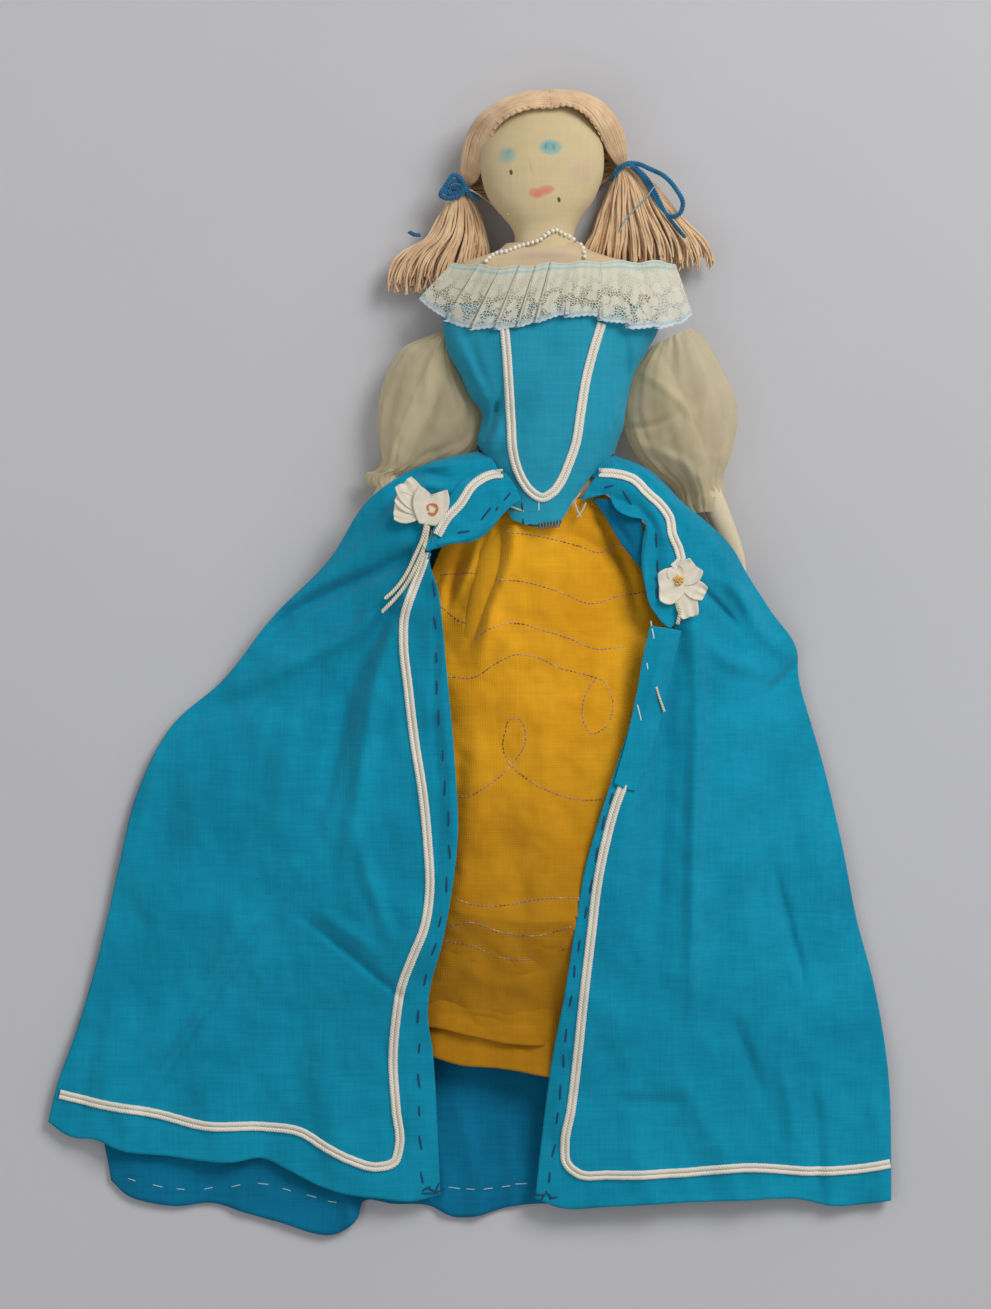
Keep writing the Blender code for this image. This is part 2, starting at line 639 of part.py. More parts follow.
# Petticoat: rows of (down its length, half width, how far it rises, squareness of its crown)
PETTICOAT_SHARES = [(0, 0.40, 0.93, 2.8), (0.05, 0.54, 1.0, 2.7), (0.14, 0.68, 1.0, 2.4),
                    (0.35, 0.92, 1.0, 2.1),
                    (0.60, 1.0, 1.0, 2.0), (0.82, 1.0, 0.97, 2.0), (0.92, 1.0, 0.70, 2.0),
                    (1, 1.0, 0.42, 2.0)]
PETTICOAT_ROWS = 12


def petticoat_place(across, down, inward=0.0, drop=0.0):
    """A point of the petticoat's front; inward moves it towards the body, drop below its hem."""
    half, rise, square = smooth_table(PETTICOAT_SHARES, down)
    turn = (across - 0.5) * math.pi
    sine, cosine = math.sin(turn), max(0.0, math.cos(turn))
    wide = math.copysign(abs(sine) ** (2 / square), sine)
    deep = cosine ** (2 / square)
    half = half * PETTICOAT_WIDTH / 2 - inward
    rise = rise * (PETTICOAT_HEIGHT - PETTICOAT_BASE) - inward
    fold = SKIRT_FOLD * math.cos(across * math.tau * 5 + 1.1) * deep * math.exp(-down * 3)
    return second_point(-wide * half, PETTICOAT_TOP_Y + down * PETTICOAT_LENGTH + drop,
                        PETTICOAT_BASE + deep * rise - abs(fold))


def lining_place(across, along):
    """A point of the lining: row for row inside the petticoat, with one more row below its hem."""
    down = along * (PETTICOAT_ROWS + 1) / PETTICOAT_ROWS
    drop = max(0.0, down - 1) * PETTICOAT_ROWS * LINING_DROP
    return petticoat_place(across, min(1, down), FINE_COTTON + 2 * GAP, drop)


def make_petticoat():
    """The yellow skirt: a front with its lining, a back, and the gathering thread at the waist."""
    sheet("petticoat_front", 18, PETTICOAT_ROWS, petticoat_place, FINE_COTTON, YELLOW)
    sheet("petticoat_lining", 18, PETTICOAT_ROWS + 1, lining_place, FINE_COTTON, YELLOW)

    def back_place(across, down):
        half = smooth_table(PETTICOAT_SHARES, down)[0] * PETTICOAT_WIDTH / 2
        return second_point((0.5 - across) * 2 * half, PETTICOAT_TOP_Y + down * PETTICOAT_LENGTH,
                            BACK_TOP + GAP + FINE_COTTON)

    sheet("petticoat_back", 6, 10, back_place, FINE_COTTON, YELLOW)
    width, depth = TORSO_SHARES[0][1:]
    reach = ELASTIC / 2 + GAP
    lean_step = math.sin(SECOND_LEAN) * width * CHEST_WIDTH / 2
    ring = oval(second_point(0, GAP * 2 + ELASTIC / 2 + lean_step, SECOND_MIDDLE), SECOND_ACROSS,
                width * SECOND_CHEST_WIDTH / 2 + reach, depth * SECOND_DEPTH / 2 + reach, sides=28)
    cord("waist_elastic", ring, ELASTIC, WHITE_THREAD, closed=True)


# Overskirt: rows of (across, down, height), in shares of the skirt's width, length and height
SIDE_LEFT_OUTER_SHARES = in_rows([
    (-0.081, -0.088, 0.76), (-0.143, -0.065, 0.74), (-0.205, -0.021, 0.64), (-0.256, 0.063, 0.54),
    (-0.321, 0.140, 0.22), (-0.382, 0.231, 0.12), (-0.438, 0.289, 0.11), (-0.484, 0.393, 0.11),
    (-0.504, 0.490, 0.11), (-0.529, 0.622, 0.11), (-0.555, 0.725, 0.11), (-0.577, 0.800, 0.11),
    (-0.588, 0.849, 0.11)])
SIDE_RIGHT_OUTER_SHARES = in_rows([
    (0.078, -0.082, 0.76), (0.115, -0.063, 0.74), (0.161, -0.013, 0.60), (0.185, 0.010, 0.55),
    (0.215, 0.044, 0.54), (0.233, 0.082, 0.50), (0.261, 0.132, 0.26), (0.293, 0.188, 0.12),
    (0.294, 0.222, 0.11), (0.309, 0.288, 0.11), (0.344, 0.449, 0.11), (0.364, 0.567, 0.11),
    (0.384, 0.656, 0.11), (0.404, 0.804, 0.11), (0.410, 0.951, 0.11)])
LEFT_PIN_SHARES = (-0.140, 0.062, 0.98)
LEFT_HINGE_HEM_SHARES = (-0.453, 0.892, 0.28)
RIGHT_PIN_SHARES = (0.152, 0.160, 0.98)
RIGHT_HINGE_HEM_SHARES = (0.295, 0.956, 0.28)
SIDE_LEFT_INNER_SHARES = [(0, -0.066, -0.058, 0.84), (1 / 14, -0.112, -0.017, 0.95),
                          (2 / 14, *LEFT_PIN_SHARES),
                          (1, *LEFT_HINGE_HEM_SHARES)]
SIDE_RIGHT_INNER_SHARES = [(0, 0.0712, -0.060, 0.84), (1 / 14, 0.134, -0.013, 0.95),
                           (2 / 14, 0.163, 0.073, 1.0),
                           (3 / 14, *RIGHT_PIN_SHARES), (1, *RIGHT_HINGE_HEM_SHARES)]
LEFT_EDGE_SHARES = in_rows([
    (-0.120, 0.084, 1.0), (-0.122, 0.144, 1.0), (-0.110, 0.255, 1.0), (-0.108, 0.340, 1.0),
    (-0.105, 0.465, 1.0),
    (-0.126, 0.604, 0.97), (-0.140, 0.674, 0.80), (-0.132, 0.757, 0.58), (-0.126, 0.947, 0.28)])
RIGHT_EDGE_SHARES = in_rows([
    (0.112, 0.170, 1.0), (0.108, 0.220, 1.0), (0.094, 0.290, 1.0), (0.075, 0.382, 1.0),
    (0.036, 0.535, 1.03),
    (0.017, 0.632, 1.02), (-0.002, 0.757, 0.64), (-0.017, 0.954, 0.28)])
LEFT_SWAG_LOW_SHARES = [(0, -0.034, -0.012, 1.0), (0.4, -0.060, 0.013, 1.0), (0.7, -0.086, 0.038, 1.0),
                        (1, -0.120, 0.056, 0.98)]
RIGHT_SWAG_LOW_SHARES = [(0, 0.054, -0.022, 1.0), (0.25, 0.079, -0.006, 1.0), (0.5, 0.112, 0.008, 1.0),
                         (0.75, 0.108, 0.069, 1.0), (1, 0.114, 0.150, 0.98)]
BACK_LEFT_SHARES = in_rows([
    (-0.091,), (-0.240,), (-0.318,), (-0.400,), (-0.462,), (-0.485,), (-0.505,), (-0.523,), (-0.530,),
    (-0.528,),
    (-0.513,)])
BACK_RIGHT_SHARES = in_rows([
    (0.085,), (0.220,), (0.268,), (0.290,), (0.312,), (0.332,), (0.350,), (0.368,), (0.382,), (0.388,),
    (0.389,)])
BACK_HEM_SHARES = [(0, 0.930), (0.08, 0.964), (0.14, 0.960), (0.21, 0.984), (0.30, 1.0), (0.33, 0.980),
                   (0.38, 0.963), (0.45, 0.980), (0.52, 0.965), (0.66, 0.964), (0.83, 0.956), (1, 0.944)]
BACK_TOP_SHARE = -0.045
SWAG_END_SHARE = 0.96
# Rows of (along the braid, across the swag, along the swag)
SWAG_BRAID_SHARES = [(0, 0.34, 0.03), (0.5, 0.34, 0.46), (1, 0.34, 0.90)]


def edge_reader(table, smooth=True):
    """Read a boundary table as points in space."""
    read = smooth_table if smooth else lerp_table
    return lambda along: skirt_point(*read(table, along))


def hinge_gap(pin_shares, hem_shares, side):
    """The step from the fold line to each cloth edge beside it."""
    line = skirt_point(*hem_shares) - skirt_point(*pin_shares)
    return Vector((-line.y, line.x, 0)).normalized() * side * GAP


def cloth_between(inner, outer, bulge, folds, phase, shift=Vector()):
    """Cloth hung between two edges, with folds that die away at both."""
    def place(across, along):
        near, far = inner(along) + shift, outer(along)
        point = near.lerp(far, across)
        swell = math.sin(math.pi * across)
        ripple = math.cos(across * math.tau * folds + phase + along * 1.5)
        point.z += swell * (bulge + SKIRT_FOLD * ripple * min(1, 0.35 + along))
        return point
    return place


def make_overskirt():
    """Two sides, two open fronts that fold back, two pinned swags and the back."""
    sides = (("left", 1, SIDE_LEFT_INNER_SHARES, SIDE_LEFT_OUTER_SHARES, LEFT_PIN_SHARES,
              LEFT_HINGE_HEM_SHARES,
              LEFT_EDGE_SHARES, LEFT_SWAG_LOW_SHARES, 2 / 14, 8),
             ("right", -1, SIDE_RIGHT_INNER_SHARES, SIDE_RIGHT_OUTER_SHARES, RIGHT_PIN_SHARES,
              RIGHT_HINGE_HEM_SHARES, RIGHT_EDGE_SHARES, RIGHT_SWAG_LOW_SHARES, 3 / 14, 9))
    for label, side, inner, outer, pin, hem, edge, low, pin_row, swag_rows in sides:
        step = hinge_gap(pin, hem, side)
        waist_edge = edge_reader(inner, smooth=False)
        sheet("overskirt_side_" + label, 12, 14,
              cloth_between(waist_edge, edge_reader(outer), SIDE_BULGE, 1.5, 0.4, -step),
              COTTON, TURQUOISE)

        def fold_line(along):
            return skirt_point(*pin).lerp(skirt_point(*hem), along)

        sheet("overskirt_front_" + label, 12, 12,
              cloth_between(fold_line, edge_reader(edge), FRONT_BULGE, 2, 0.4, step), COTTON, TURQUOISE)

        def pinned_edge(along):
            return waist_edge(min(along, SWAG_END_SHARE) * pin_row)

        swag = cloth_between(pinned_edge, edge_reader(low), SWAG_BULGE, 0.5, 0, step * 3)
        piece = sheet("swag_" + label, 4, swag_rows, swag, COTTON, TURQUOISE)
        braid("swag_braid_" + label, top_of(piece), SWAG_BRAID_SHARES, 2 * swag_rows,
              lambda across, along: swag(across, along).xy)

    def back_place(across, along):
        left, right = smooth_table(BACK_LEFT_SHARES, along)[0], smooth_table(BACK_RIGHT_SHARES, along)[0]
        hem = smooth_table(BACK_HEM_SHARES, across)[0]
        down = BACK_TOP_SHARE + (hem - BACK_TOP_SHARE) * along
        return Vector((*skirt_plan(left + (right - left) * across, down), BACK_TOP))

    sheet("overskirt_back", 14, 8, back_place, COTTON, TURQUOISE)


make_second_doll()
make_petticoat()
make_overskirt()

# Braid along the swags, the open fronts and the hem: rows of (across, down) in shares of the skirt
BRAID_SHARES = {
    "front_braid_left": ("overskirt_front_left", 44, [
        (-0.141, 0.140), (-0.149, 0.160), (-0.155, 0.180), (-0.156, 0.210), (-0.152, 0.257),
        (-0.143, 0.382),
        (-0.137, 0.535), (-0.163, 0.660), (-0.180, 0.743), (-0.174, 0.860), (-0.182, 0.893),
        (-0.215, 0.895),
        (-0.289, 0.868), (-0.405, 0.843)]),
    "hem_braid_left": ("overskirt_side_left", 10, [(-0.448, 0.836), (-0.480, 0.829), (-0.523, 0.819),
                                                   (-0.560, 0.811)]),
    "front_braid_right": ("overskirt_front_right", 44, [
        (0.100, 0.330), (0.083, 0.400), (0.067, 0.470), (0.050, 0.590), (0.035, 0.720), (0.024, 0.840),
        (0.021, 0.880), (0.030, 0.908), (0.056, 0.918), (0.178, 0.912), (0.275, 0.912)]),
    "hem_braid_right": ("overskirt_side_right", 8, [(0.304, 0.912), (0.350, 0.908), (0.398, 0.903)]),
}
for braid_name, (carrier, steps, line_shares) in BRAID_SHARES.items():
    braid(braid_name, top_of(bpy.data.objects[carrier]), in_rows(line_shares), steps, skirt_plan)

# Flowers: rows of (radius, height) from the underside, over the petals' edge, to the middle
FLOWER_SHARES = [(0.20, 0.0), (0.60, 0.05), (1.0, 0.9), (1.0, 1.7), (0.62, 1.0), (0.30, 0.9), (0.24, 1.8),
                 (0.10, 2.1)]
PETALS = 5
STEM_STEPS = 8


def make_flower(name, across, down, carriers):
    """Five ribbon petals gathered round a middle, pinned on the cloth below."""
    trees = top_of(*(bpy.data.objects[carrier] for carrier in carriers))
    x, y = skirt_plan(across, down)
    radius = FLOWER_WIDTH / 2
    turns = [math.tau * step / ROUND_SIDES for step in range(ROUND_SIDES)]
    base = max(seat(trees, x + radius * reach * math.cos(turn), y + radius * reach * math.sin(turn))
               - height * FLOWER_THICKNESS for turn in turns for reach, height in FLOWER_SHARES[:3]) + GAP
    rings = []
    for reach, height in FLOWER_SHARES:
        ring = []
        for turn in turns:
            petal = 1 - 0.16 * (1 - math.cos(PETALS * turn)) * (reach > 0.5)
            ring.append(Vector((x + radius * reach * petal * math.cos(turn),
                                y + radius * reach * petal * math.sin(turn),
                                base + height * FLOWER_THICKNESS)))
        rings.append(ring)
    finish(loft(rings), name, PETAL)


make_flower("flower_left", -0.151, -0.016, ("swag_left", "overskirt_side_left", "swag_braid_left"))
make_flower("flower_right", 0.155, 0.106, ("swag_right", "overskirt_side_right", "swag_braid_right",
                                           "overskirt_front_right"))


def make_stem(name, carriers, line_shares):
    """A cord stem lying on the cloth."""
    trees = top_of(*(bpy.data.objects[carrier] for carrier in carriers))
    points = []
    for step in range(STEM_STEPS + 1):
        x, y = skirt_plan(*smooth_table(in_rows(line_shares), step / STEM_STEPS))
        height = max(seat(trees, x + offset * STEM_CORD / 2, y) for offset in (-1, 0, 1))
        points.append(Vector((x, y, height + STEM_CORD / 2 + GAP)))
    cord(name, points, STEM_CORD, PETAL)


make_stem("flower_stem_left_upper", ("overskirt_side_left",), [(-0.160, 0.020), (-0.168, 0.060),
                                                               (-0.190, 0.112)])
make_stem("flower_stem_left_lower", ("overskirt_side_left",), [(-0.155, 0.034), (-0.166, 0.082),
                                                               (-0.192, 0.134)])
make_stem("flower_stem_right", ("swag_right", "overskirt_side_right"),
          [(0.150, 0.112), (0.1515, 0.128), (0.150, 0.146)])


def make_bow(name, tie, carriers, line):
    """A looped blue cord; its line is steps from the tie and counts of cord above the yarn."""
    trees = top_of(*(bpy.data.objects[carrier] for carrier in carriers))
    points = []
    steps = (len(line) - 1) * 3
    for step in range(steps + 1):
        side, rise, layer = smooth_table(in_rows(line), step / steps)
        place = tie + Vector((side, rise, 0)) * PIGTAIL_WIDTH
        yarn = max(seat(trees, place.x + offset * BOW_CORD, place.y) for offset in (-1, 0, 1))
        place.z = max(yarn, PIGTAIL_DEPTH * 0.9) + BOW_CORD / 2 + GAP + layer * (BOW_CORD + GAP)
        points.append(place)
    cord(name, points, BOW_CORD, BLUE_CORD)


LEFT_BOW_SHARES = [(0.18, -0.12, 0), (0.08, -0.06, 0), (-0.02, 0.01, 0), (-0.13, 0.09, 0.2),
                   (-0.20, 0.02, 0.4),
                   (-0.18, -0.10, 0.6), (-0.08, -0.12, 0.9), (0.03, -0.03, 1.3), (0.10, 0.04, 1.4)]
RIGHT_BOW_SHARES = [(0.42, -0.64, 0), (0.36, -0.52, 0), (0.29, -0.36, 0), (0.20, -0.19, 0),
                    (0.17, -0.07, 0.4),
                    (0.26, -0.03, 1.2), (0.40, -0.12, 1.3), (0.48, -0.29, 1.3), (0.44, -0.45, 1.3),
                    (0.32, -0.46, 1.6), (0.19, -0.30, 1.8), (0.12, -0.14, 1.8), (0.05, 0.0, 1.4),
                    (-0.08, 0.06, 0.7), (-0.20, -0.02, 0.2)]
make_bow("hair_bow_left", LEFT_TIE, ("hair_cap", "pigtail_left"), LEFT_BOW_SHARES)
make_bow("hair_bow_right", RIGHT_TIE, ("hair_cap", "pigtail_right"), RIGHT_BOW_SHARES)

# The free fronts and their braid turn on the fold line, so their origins lie on it
for label, pin_shares in (("left", LEFT_PIN_SHARES), ("right", RIGHT_PIN_SHARES)):
    for name in ("overskirt_front_", "front_braid_"):
        hang_on_axis(bpy.data.objects[name + label], skirt_point(*pin_shares))
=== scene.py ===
"""The dressed topsy turvy doll: cloth, yarn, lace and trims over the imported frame.

Places on the photograph are (x, y) in its pixels with a height in millimetres. One pixel is
0.4 mm, and plan() turns such places into metres.
"""
import math
import random

import bmesh
import bpy
import numpy as np
from mathutils import Matrix, Vector, noise
from mathutils.bvhtree import BVHTree


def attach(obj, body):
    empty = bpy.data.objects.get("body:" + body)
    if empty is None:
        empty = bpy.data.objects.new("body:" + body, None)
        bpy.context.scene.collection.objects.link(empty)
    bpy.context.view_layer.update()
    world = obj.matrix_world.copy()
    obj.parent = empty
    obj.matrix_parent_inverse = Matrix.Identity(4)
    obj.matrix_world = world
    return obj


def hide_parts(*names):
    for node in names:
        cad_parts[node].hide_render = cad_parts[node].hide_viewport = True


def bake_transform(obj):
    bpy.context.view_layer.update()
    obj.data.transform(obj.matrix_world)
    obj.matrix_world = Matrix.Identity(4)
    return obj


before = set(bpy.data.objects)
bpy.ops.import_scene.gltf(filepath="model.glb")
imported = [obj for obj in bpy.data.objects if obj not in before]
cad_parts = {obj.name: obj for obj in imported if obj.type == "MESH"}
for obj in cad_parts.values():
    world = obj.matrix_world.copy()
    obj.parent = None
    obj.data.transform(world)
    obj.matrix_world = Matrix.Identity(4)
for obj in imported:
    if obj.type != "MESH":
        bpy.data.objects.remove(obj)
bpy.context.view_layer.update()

# View
# The photograph looks straight down on the doll, which lies with its middle near the frame's origin.
# The camera stands 2.4 m above it, far enough to keep the plan true.


def plan(places):
    """Photograph places with heights in mm, as points in metres."""
    places = np.asarray(places, float)
    return np.stack([(places[..., 0] - 472.5) * 0.0004 + 0.0004, (662.5 - places[..., 1]) * 0.0004 + 0.0005,
                     places[..., 2] * 0.001], axis=-1)


camera = bpy.data.objects.new("camera", bpy.data.cameras.new("camera"))
camera.data.sensor_fit = "VERTICAL"
camera.data.sensor_height = 24
camera.data.lens = 24 * 2.4 / (1309 * 0.0004)
camera.location = Vector(plan((495.5, 654.5, 15))) + Vector((0, 0, 2.4))
bpy.context.collection.objects.link(camera)
bpy.context.scene.camera = camera
bpy.context.scene.view_settings.view_transform = "Standard"


def tint(code, alpha=1.0):
    """An sRGB hex colour as linear RGBA."""
    parts = [int(code[i:i + 2], 16) / 255 for i in (0, 2, 4)]
    return (*[c / 12.92 if c <= 0.04045 else ((c + 0.055) / 1.055) ** 2.4 for c in parts], alpha)


def add(tree, kind, inputs=(), **settings):
    """Add one shader node, with its settings and with values or links for its inputs."""
    made = tree.nodes.new(kind)
    for key, value in settings.items():
        setattr(made, key, value)
    for key, value in dict(inputs).items():
        if isinstance(value, bpy.types.NodeSocket):
            tree.links.new(value, made.inputs[key])
        else:
            made.inputs[key].default_value = value
    return made


# Light
# A large soft window to the upper right, a weak fill lamp and a pale room, at the plain level at which
# a colour renders about as it is written.
world = bpy.data.worlds.new("soft_room")
world.use_nodes = True
world.node_tree.nodes["Background"].inputs[0].default_value = tint("E8E8EA")
world.node_tree.nodes["Background"].inputs[1].default_value = 0.47
bpy.context.scene.world = world
for label, place, size, power in (("window", (1.0, 1.1, 1.35), 0.9, 24), ("fill", (-1.2, -0.4, 1.6), 1.2, 3)):
    lamp = bpy.data.objects.new(label, bpy.data.lights.new(label, "AREA"))
    lamp.data.size = size
    lamp.data.energy = power
    lamp.location = place
    lamp.rotation_euler = (Vector((0, 0, 0.01)) - Vector(place)).to_track_quat("-Z", "Y").to_euler()
    bpy.context.collection.objects.link(lamp)


def surface(name, **values):
    """A new material with its Principled values, its tree and its shader."""
    material = bpy.data.materials.new(name)
    material.use_nodes = True
    tree = material.node_tree
    shader = tree.nodes["Principled BSDF"]
    for key, value in values.items():
        shader.inputs[key.replace("_", " ")].default_value = value
    return material, tree, shader


# Floor
# A sheet of matt uncoated card in a pale grey with a touch of lavender, a little uneven in tone. The
# doll's back rests on it.
def make_floor():
    """Pressed card: no shine, slow drifts of tone and a fibre grain about 1 mm across."""
    material, tree, shader = surface("pale_card", Roughness=0.9, Specular_IOR_Level=0.2)
    where = add(tree, "ShaderNodeTexCoord")
    cloud = add(tree, "ShaderNodeTexNoise", {"Vector": where.outputs["Object"], "Scale": 4.0, "Detail": 3.0})
    tone = add(tree, "ShaderNodeValToRGB", {"Fac": cloud.outputs["Fac"]})
    tone.color_ramp.elements[0].color = tint("C2C2C4")
    tone.color_ramp.elements[1].color = tint("CBCBCE")
    tree.links.new(tone.outputs["Color"], shader.inputs["Base Color"])
    grain = add(tree, "ShaderNodeTexNoise", {"Vector": where.outputs["Object"], "Scale": 900.0, "Detail": 2.0})
    bump = add(tree, "ShaderNodeBump", {"Height": grain.outputs["Fac"], "Strength": 0.08, "Distance": 0.0003})
    tree.links.new(bump.outputs["Normal"], shader.inputs["Normal"])
    bm = bmesh.new()
    bmesh.ops.create_grid(bm, x_segments=2, y_segments=2, size=3)
    mesh = bpy.data.meshes.new("floor")
    bm.to_mesh(mesh)
    bm.free()
    mesh.materials.append(material)
    floor = bpy.data.objects.new("floor", mesh)
    floor.location.z = -0.0002
    bpy.context.collection.objects.link(floor)


make_floor()


# Overskirt
# Turquoise plain-weave cotton, each half one cloth, gathered at the waist and hemmed below. Its open
# front folds back over the petticoat.
def run(points, places):
    """Points at shares (0 to 1) of the length of a smooth line through the given points."""
    points = np.array(points, float)
    places = np.asarray(places, float)
    steps = np.linalg.norm(np.diff(points[:, :2], axis=0), axis=1) + 1e-9
    knots = np.concatenate([[0], np.cumsum(steps)]) / steps.sum()
    slopes = np.gradient(points, knots, axis=0)
    at = np.clip(np.searchsorted(knots, places, side="right") - 1, 0, len(points) - 2)
    span = (knots[at + 1] - knots[at])[..., None]
    s = (places - knots[at])[..., None] / span
    return ((2 * s ** 3 - 3 * s ** 2 + 1) * points[at] + (s ** 3 - 2 * s ** 2 + s) * span * slopes[at]
            + (3 * s ** 2 - 2 * s ** 3) * points[at + 1] + (s ** 3 - s ** 2) * span * slopes[at + 1])


def patch(left, right, top, bottom, columns, rows):
    """A smooth patch between four edge lines; left and right run down, top and bottom run right."""
    u, v = np.linspace(0, 1, columns + 1), np.linspace(0, 1, rows + 1)
    ends, sides = (run(top, u), run(bottom, u)), (run(left, v), run(right, v))
    u, v = u[None, :, None], v[:, None, None]
    across = sides[0][:, None] * (1 - u) + sides[1][:, None] * u
    down = ends[0][None] * (1 - v) + ends[1][None] * v
    corners = ((sides[0][0] * (1 - u) + sides[1][0] * u) * (1 - v)
               + (sides[0][-1] * (1 - u) + sides[1][-1] * u) * v)
    return across + down - corners


def fold(grid, *lines):
    """Raise or sink the cloth along lines: points, half width (pixels), height (mm), strength at both ends."""
    for points, width, height, ends in lines:
        path = run(points, np.linspace(0, 1, 25))[:, :2]
        step, away = path[1:] - path[:-1], grid[..., None, :2] - path[:-1]
        share = np.clip((away * step).sum(-1) / (step ** 2).sum(-1), 0, 1)
        apart = ((away - share[..., None] * step) ** 2).sum(-1)
        near = apart.argmin(-1)[..., None]
        along = (near + np.take_along_axis(share, near, -1))[..., 0] / 24
        fade = np.interp(along, (0, 0.35, 0.65, 1), (ends[0], 1, 1, ends[1]))
        grid[..., 2] += height * fade * np.exp(-apart.min(-1) / width ** 2)
    return grid


def crumple(grid, size, height, seed, stretch=1.0):
    """Soft uneven waves, size in pixels and height in mm; stretch draws them out down the cloth."""
    flat = grid.reshape(-1, 3)
    flat[:, 2] += [height * noise.noise((x / size, y / (size * stretch), seed)) for x, y, _ in flat]
    return grid


def skin(name, grid, material, thickness=0.0, wrap=False, closed=False):
    """A mesh laid out as a grid of points in metres, its normals towards the viewer or outwards."""
    rows, columns = grid.shape[0] - 1, grid.shape[1] - 1
    bm = bmesh.new()
    bmesh.ops.create_grid(bm, x_segments=columns, y_segments=rows, size=1)
    bm.verts.ensure_lookup_table()
    for vert, place in zip(bm.verts, grid.reshape(-1, 3)):
        vert.co = place
    share = bm.verts.layers.float_vector.new("share")
    index = 0
    for row in range(rows + 1):
        for column in range(columns + 1):
            bm.verts[index][share] = (column / columns, row / rows, 0)
            index += 1
    if wrap:
        bmesh.ops.remove_doubles(bm, verts=bm.verts, dist=1e-6)
    if closed:
        bmesh.ops.holes_fill(bm, edges=[edge for edge in bm.edges if edge.is_boundary], sides=0)
        bmesh.ops.recalc_face_normals(bm, faces=bm.faces)
    else:
        bm.normal_update()
        if sum(face.normal.z * face.calc_area() for face in bm.faces) < 0:
            bmesh.ops.reverse_faces(bm, faces=bm.faces)
    mesh = bpy.data.meshes.new(name)
    bm.to_mesh(mesh)
    bm.free()
    mesh.materials.append(material)
    mesh.shade_smooth()
    piece = bpy.data.objects.new(name, mesh)
    bpy.context.collection.objects.link(piece)
    if thickness:
        wall = piece.modifiers.new("cloth", "SOLIDIFY")
        wall.thickness = thickness
        wall.offset = -1
    return piece


def tree_of(*pieces):
    """The bare surfaces of pieces, to seat trims on them."""
    return [BVHTree.FromPolygons([vert.co for vert in piece.data.vertices],
                                 [face.vertices for face in piece.data.polygons]) for piece in pieces]


def seated(trees, places, lift=0.0, least=0.0):
    """Photograph places (x, y) with the height in mm of the cloth below them, plus a lift."""
    out = []
    for x, y, *_ in places:
        start = Vector(plan((x, y, 80)))
        hits = [tree.ray_cast(start, Vector((0, 0, -1)))[0] for tree in trees]
        out.append((x, y, max([hit.z * 1000 for hit in hits if hit] + [least]) + lift))
    return np.array(out)


def paths_mesh(name, paths, thickness, material, radii=None, sides=1, closed=False):
    """Round threads, yarns or cords along paths of points in metres, as one mesh."""
    curve = bpy.data.curves.new(name, "CURVE")
    curve.dimensions = "3D"
    curve.bevel_depth = thickness / 2
    curve.bevel_resolution = sides
    curve.use_fill_caps = True
    for path in paths:
        line = curve.splines.new("POLY")
        line.points.add(len(path) - 1)
        line.points.foreach_set("co", np.column_stack([path, np.ones(len(path))]).ravel())
        if radii is not None:
            line.points.foreach_set("radius", np.interp(np.linspace(0, 1, len(path)),
                                                        np.linspace(0, 1, len(radii)), radii))
        line.use_cyclic_u = closed
    holder = bpy.data.objects.new(name, curve)
    bpy.context.collection.objects.link(holder)
    graph = bpy.context.evaluated_depsgraph_get()
    mesh = bpy.data.meshes.new_from_object(holder.evaluated_get(graph))
    bpy.data.objects.remove(holder, do_unlink=True)
    mesh.name = name
    mesh.materials.clear()
    mesh.materials.append(material)
    mesh.shade_smooth()
    piece = bpy.data.objects.new(name, mesh)
    bpy.context.collection.objects.link(piece)
    return piece


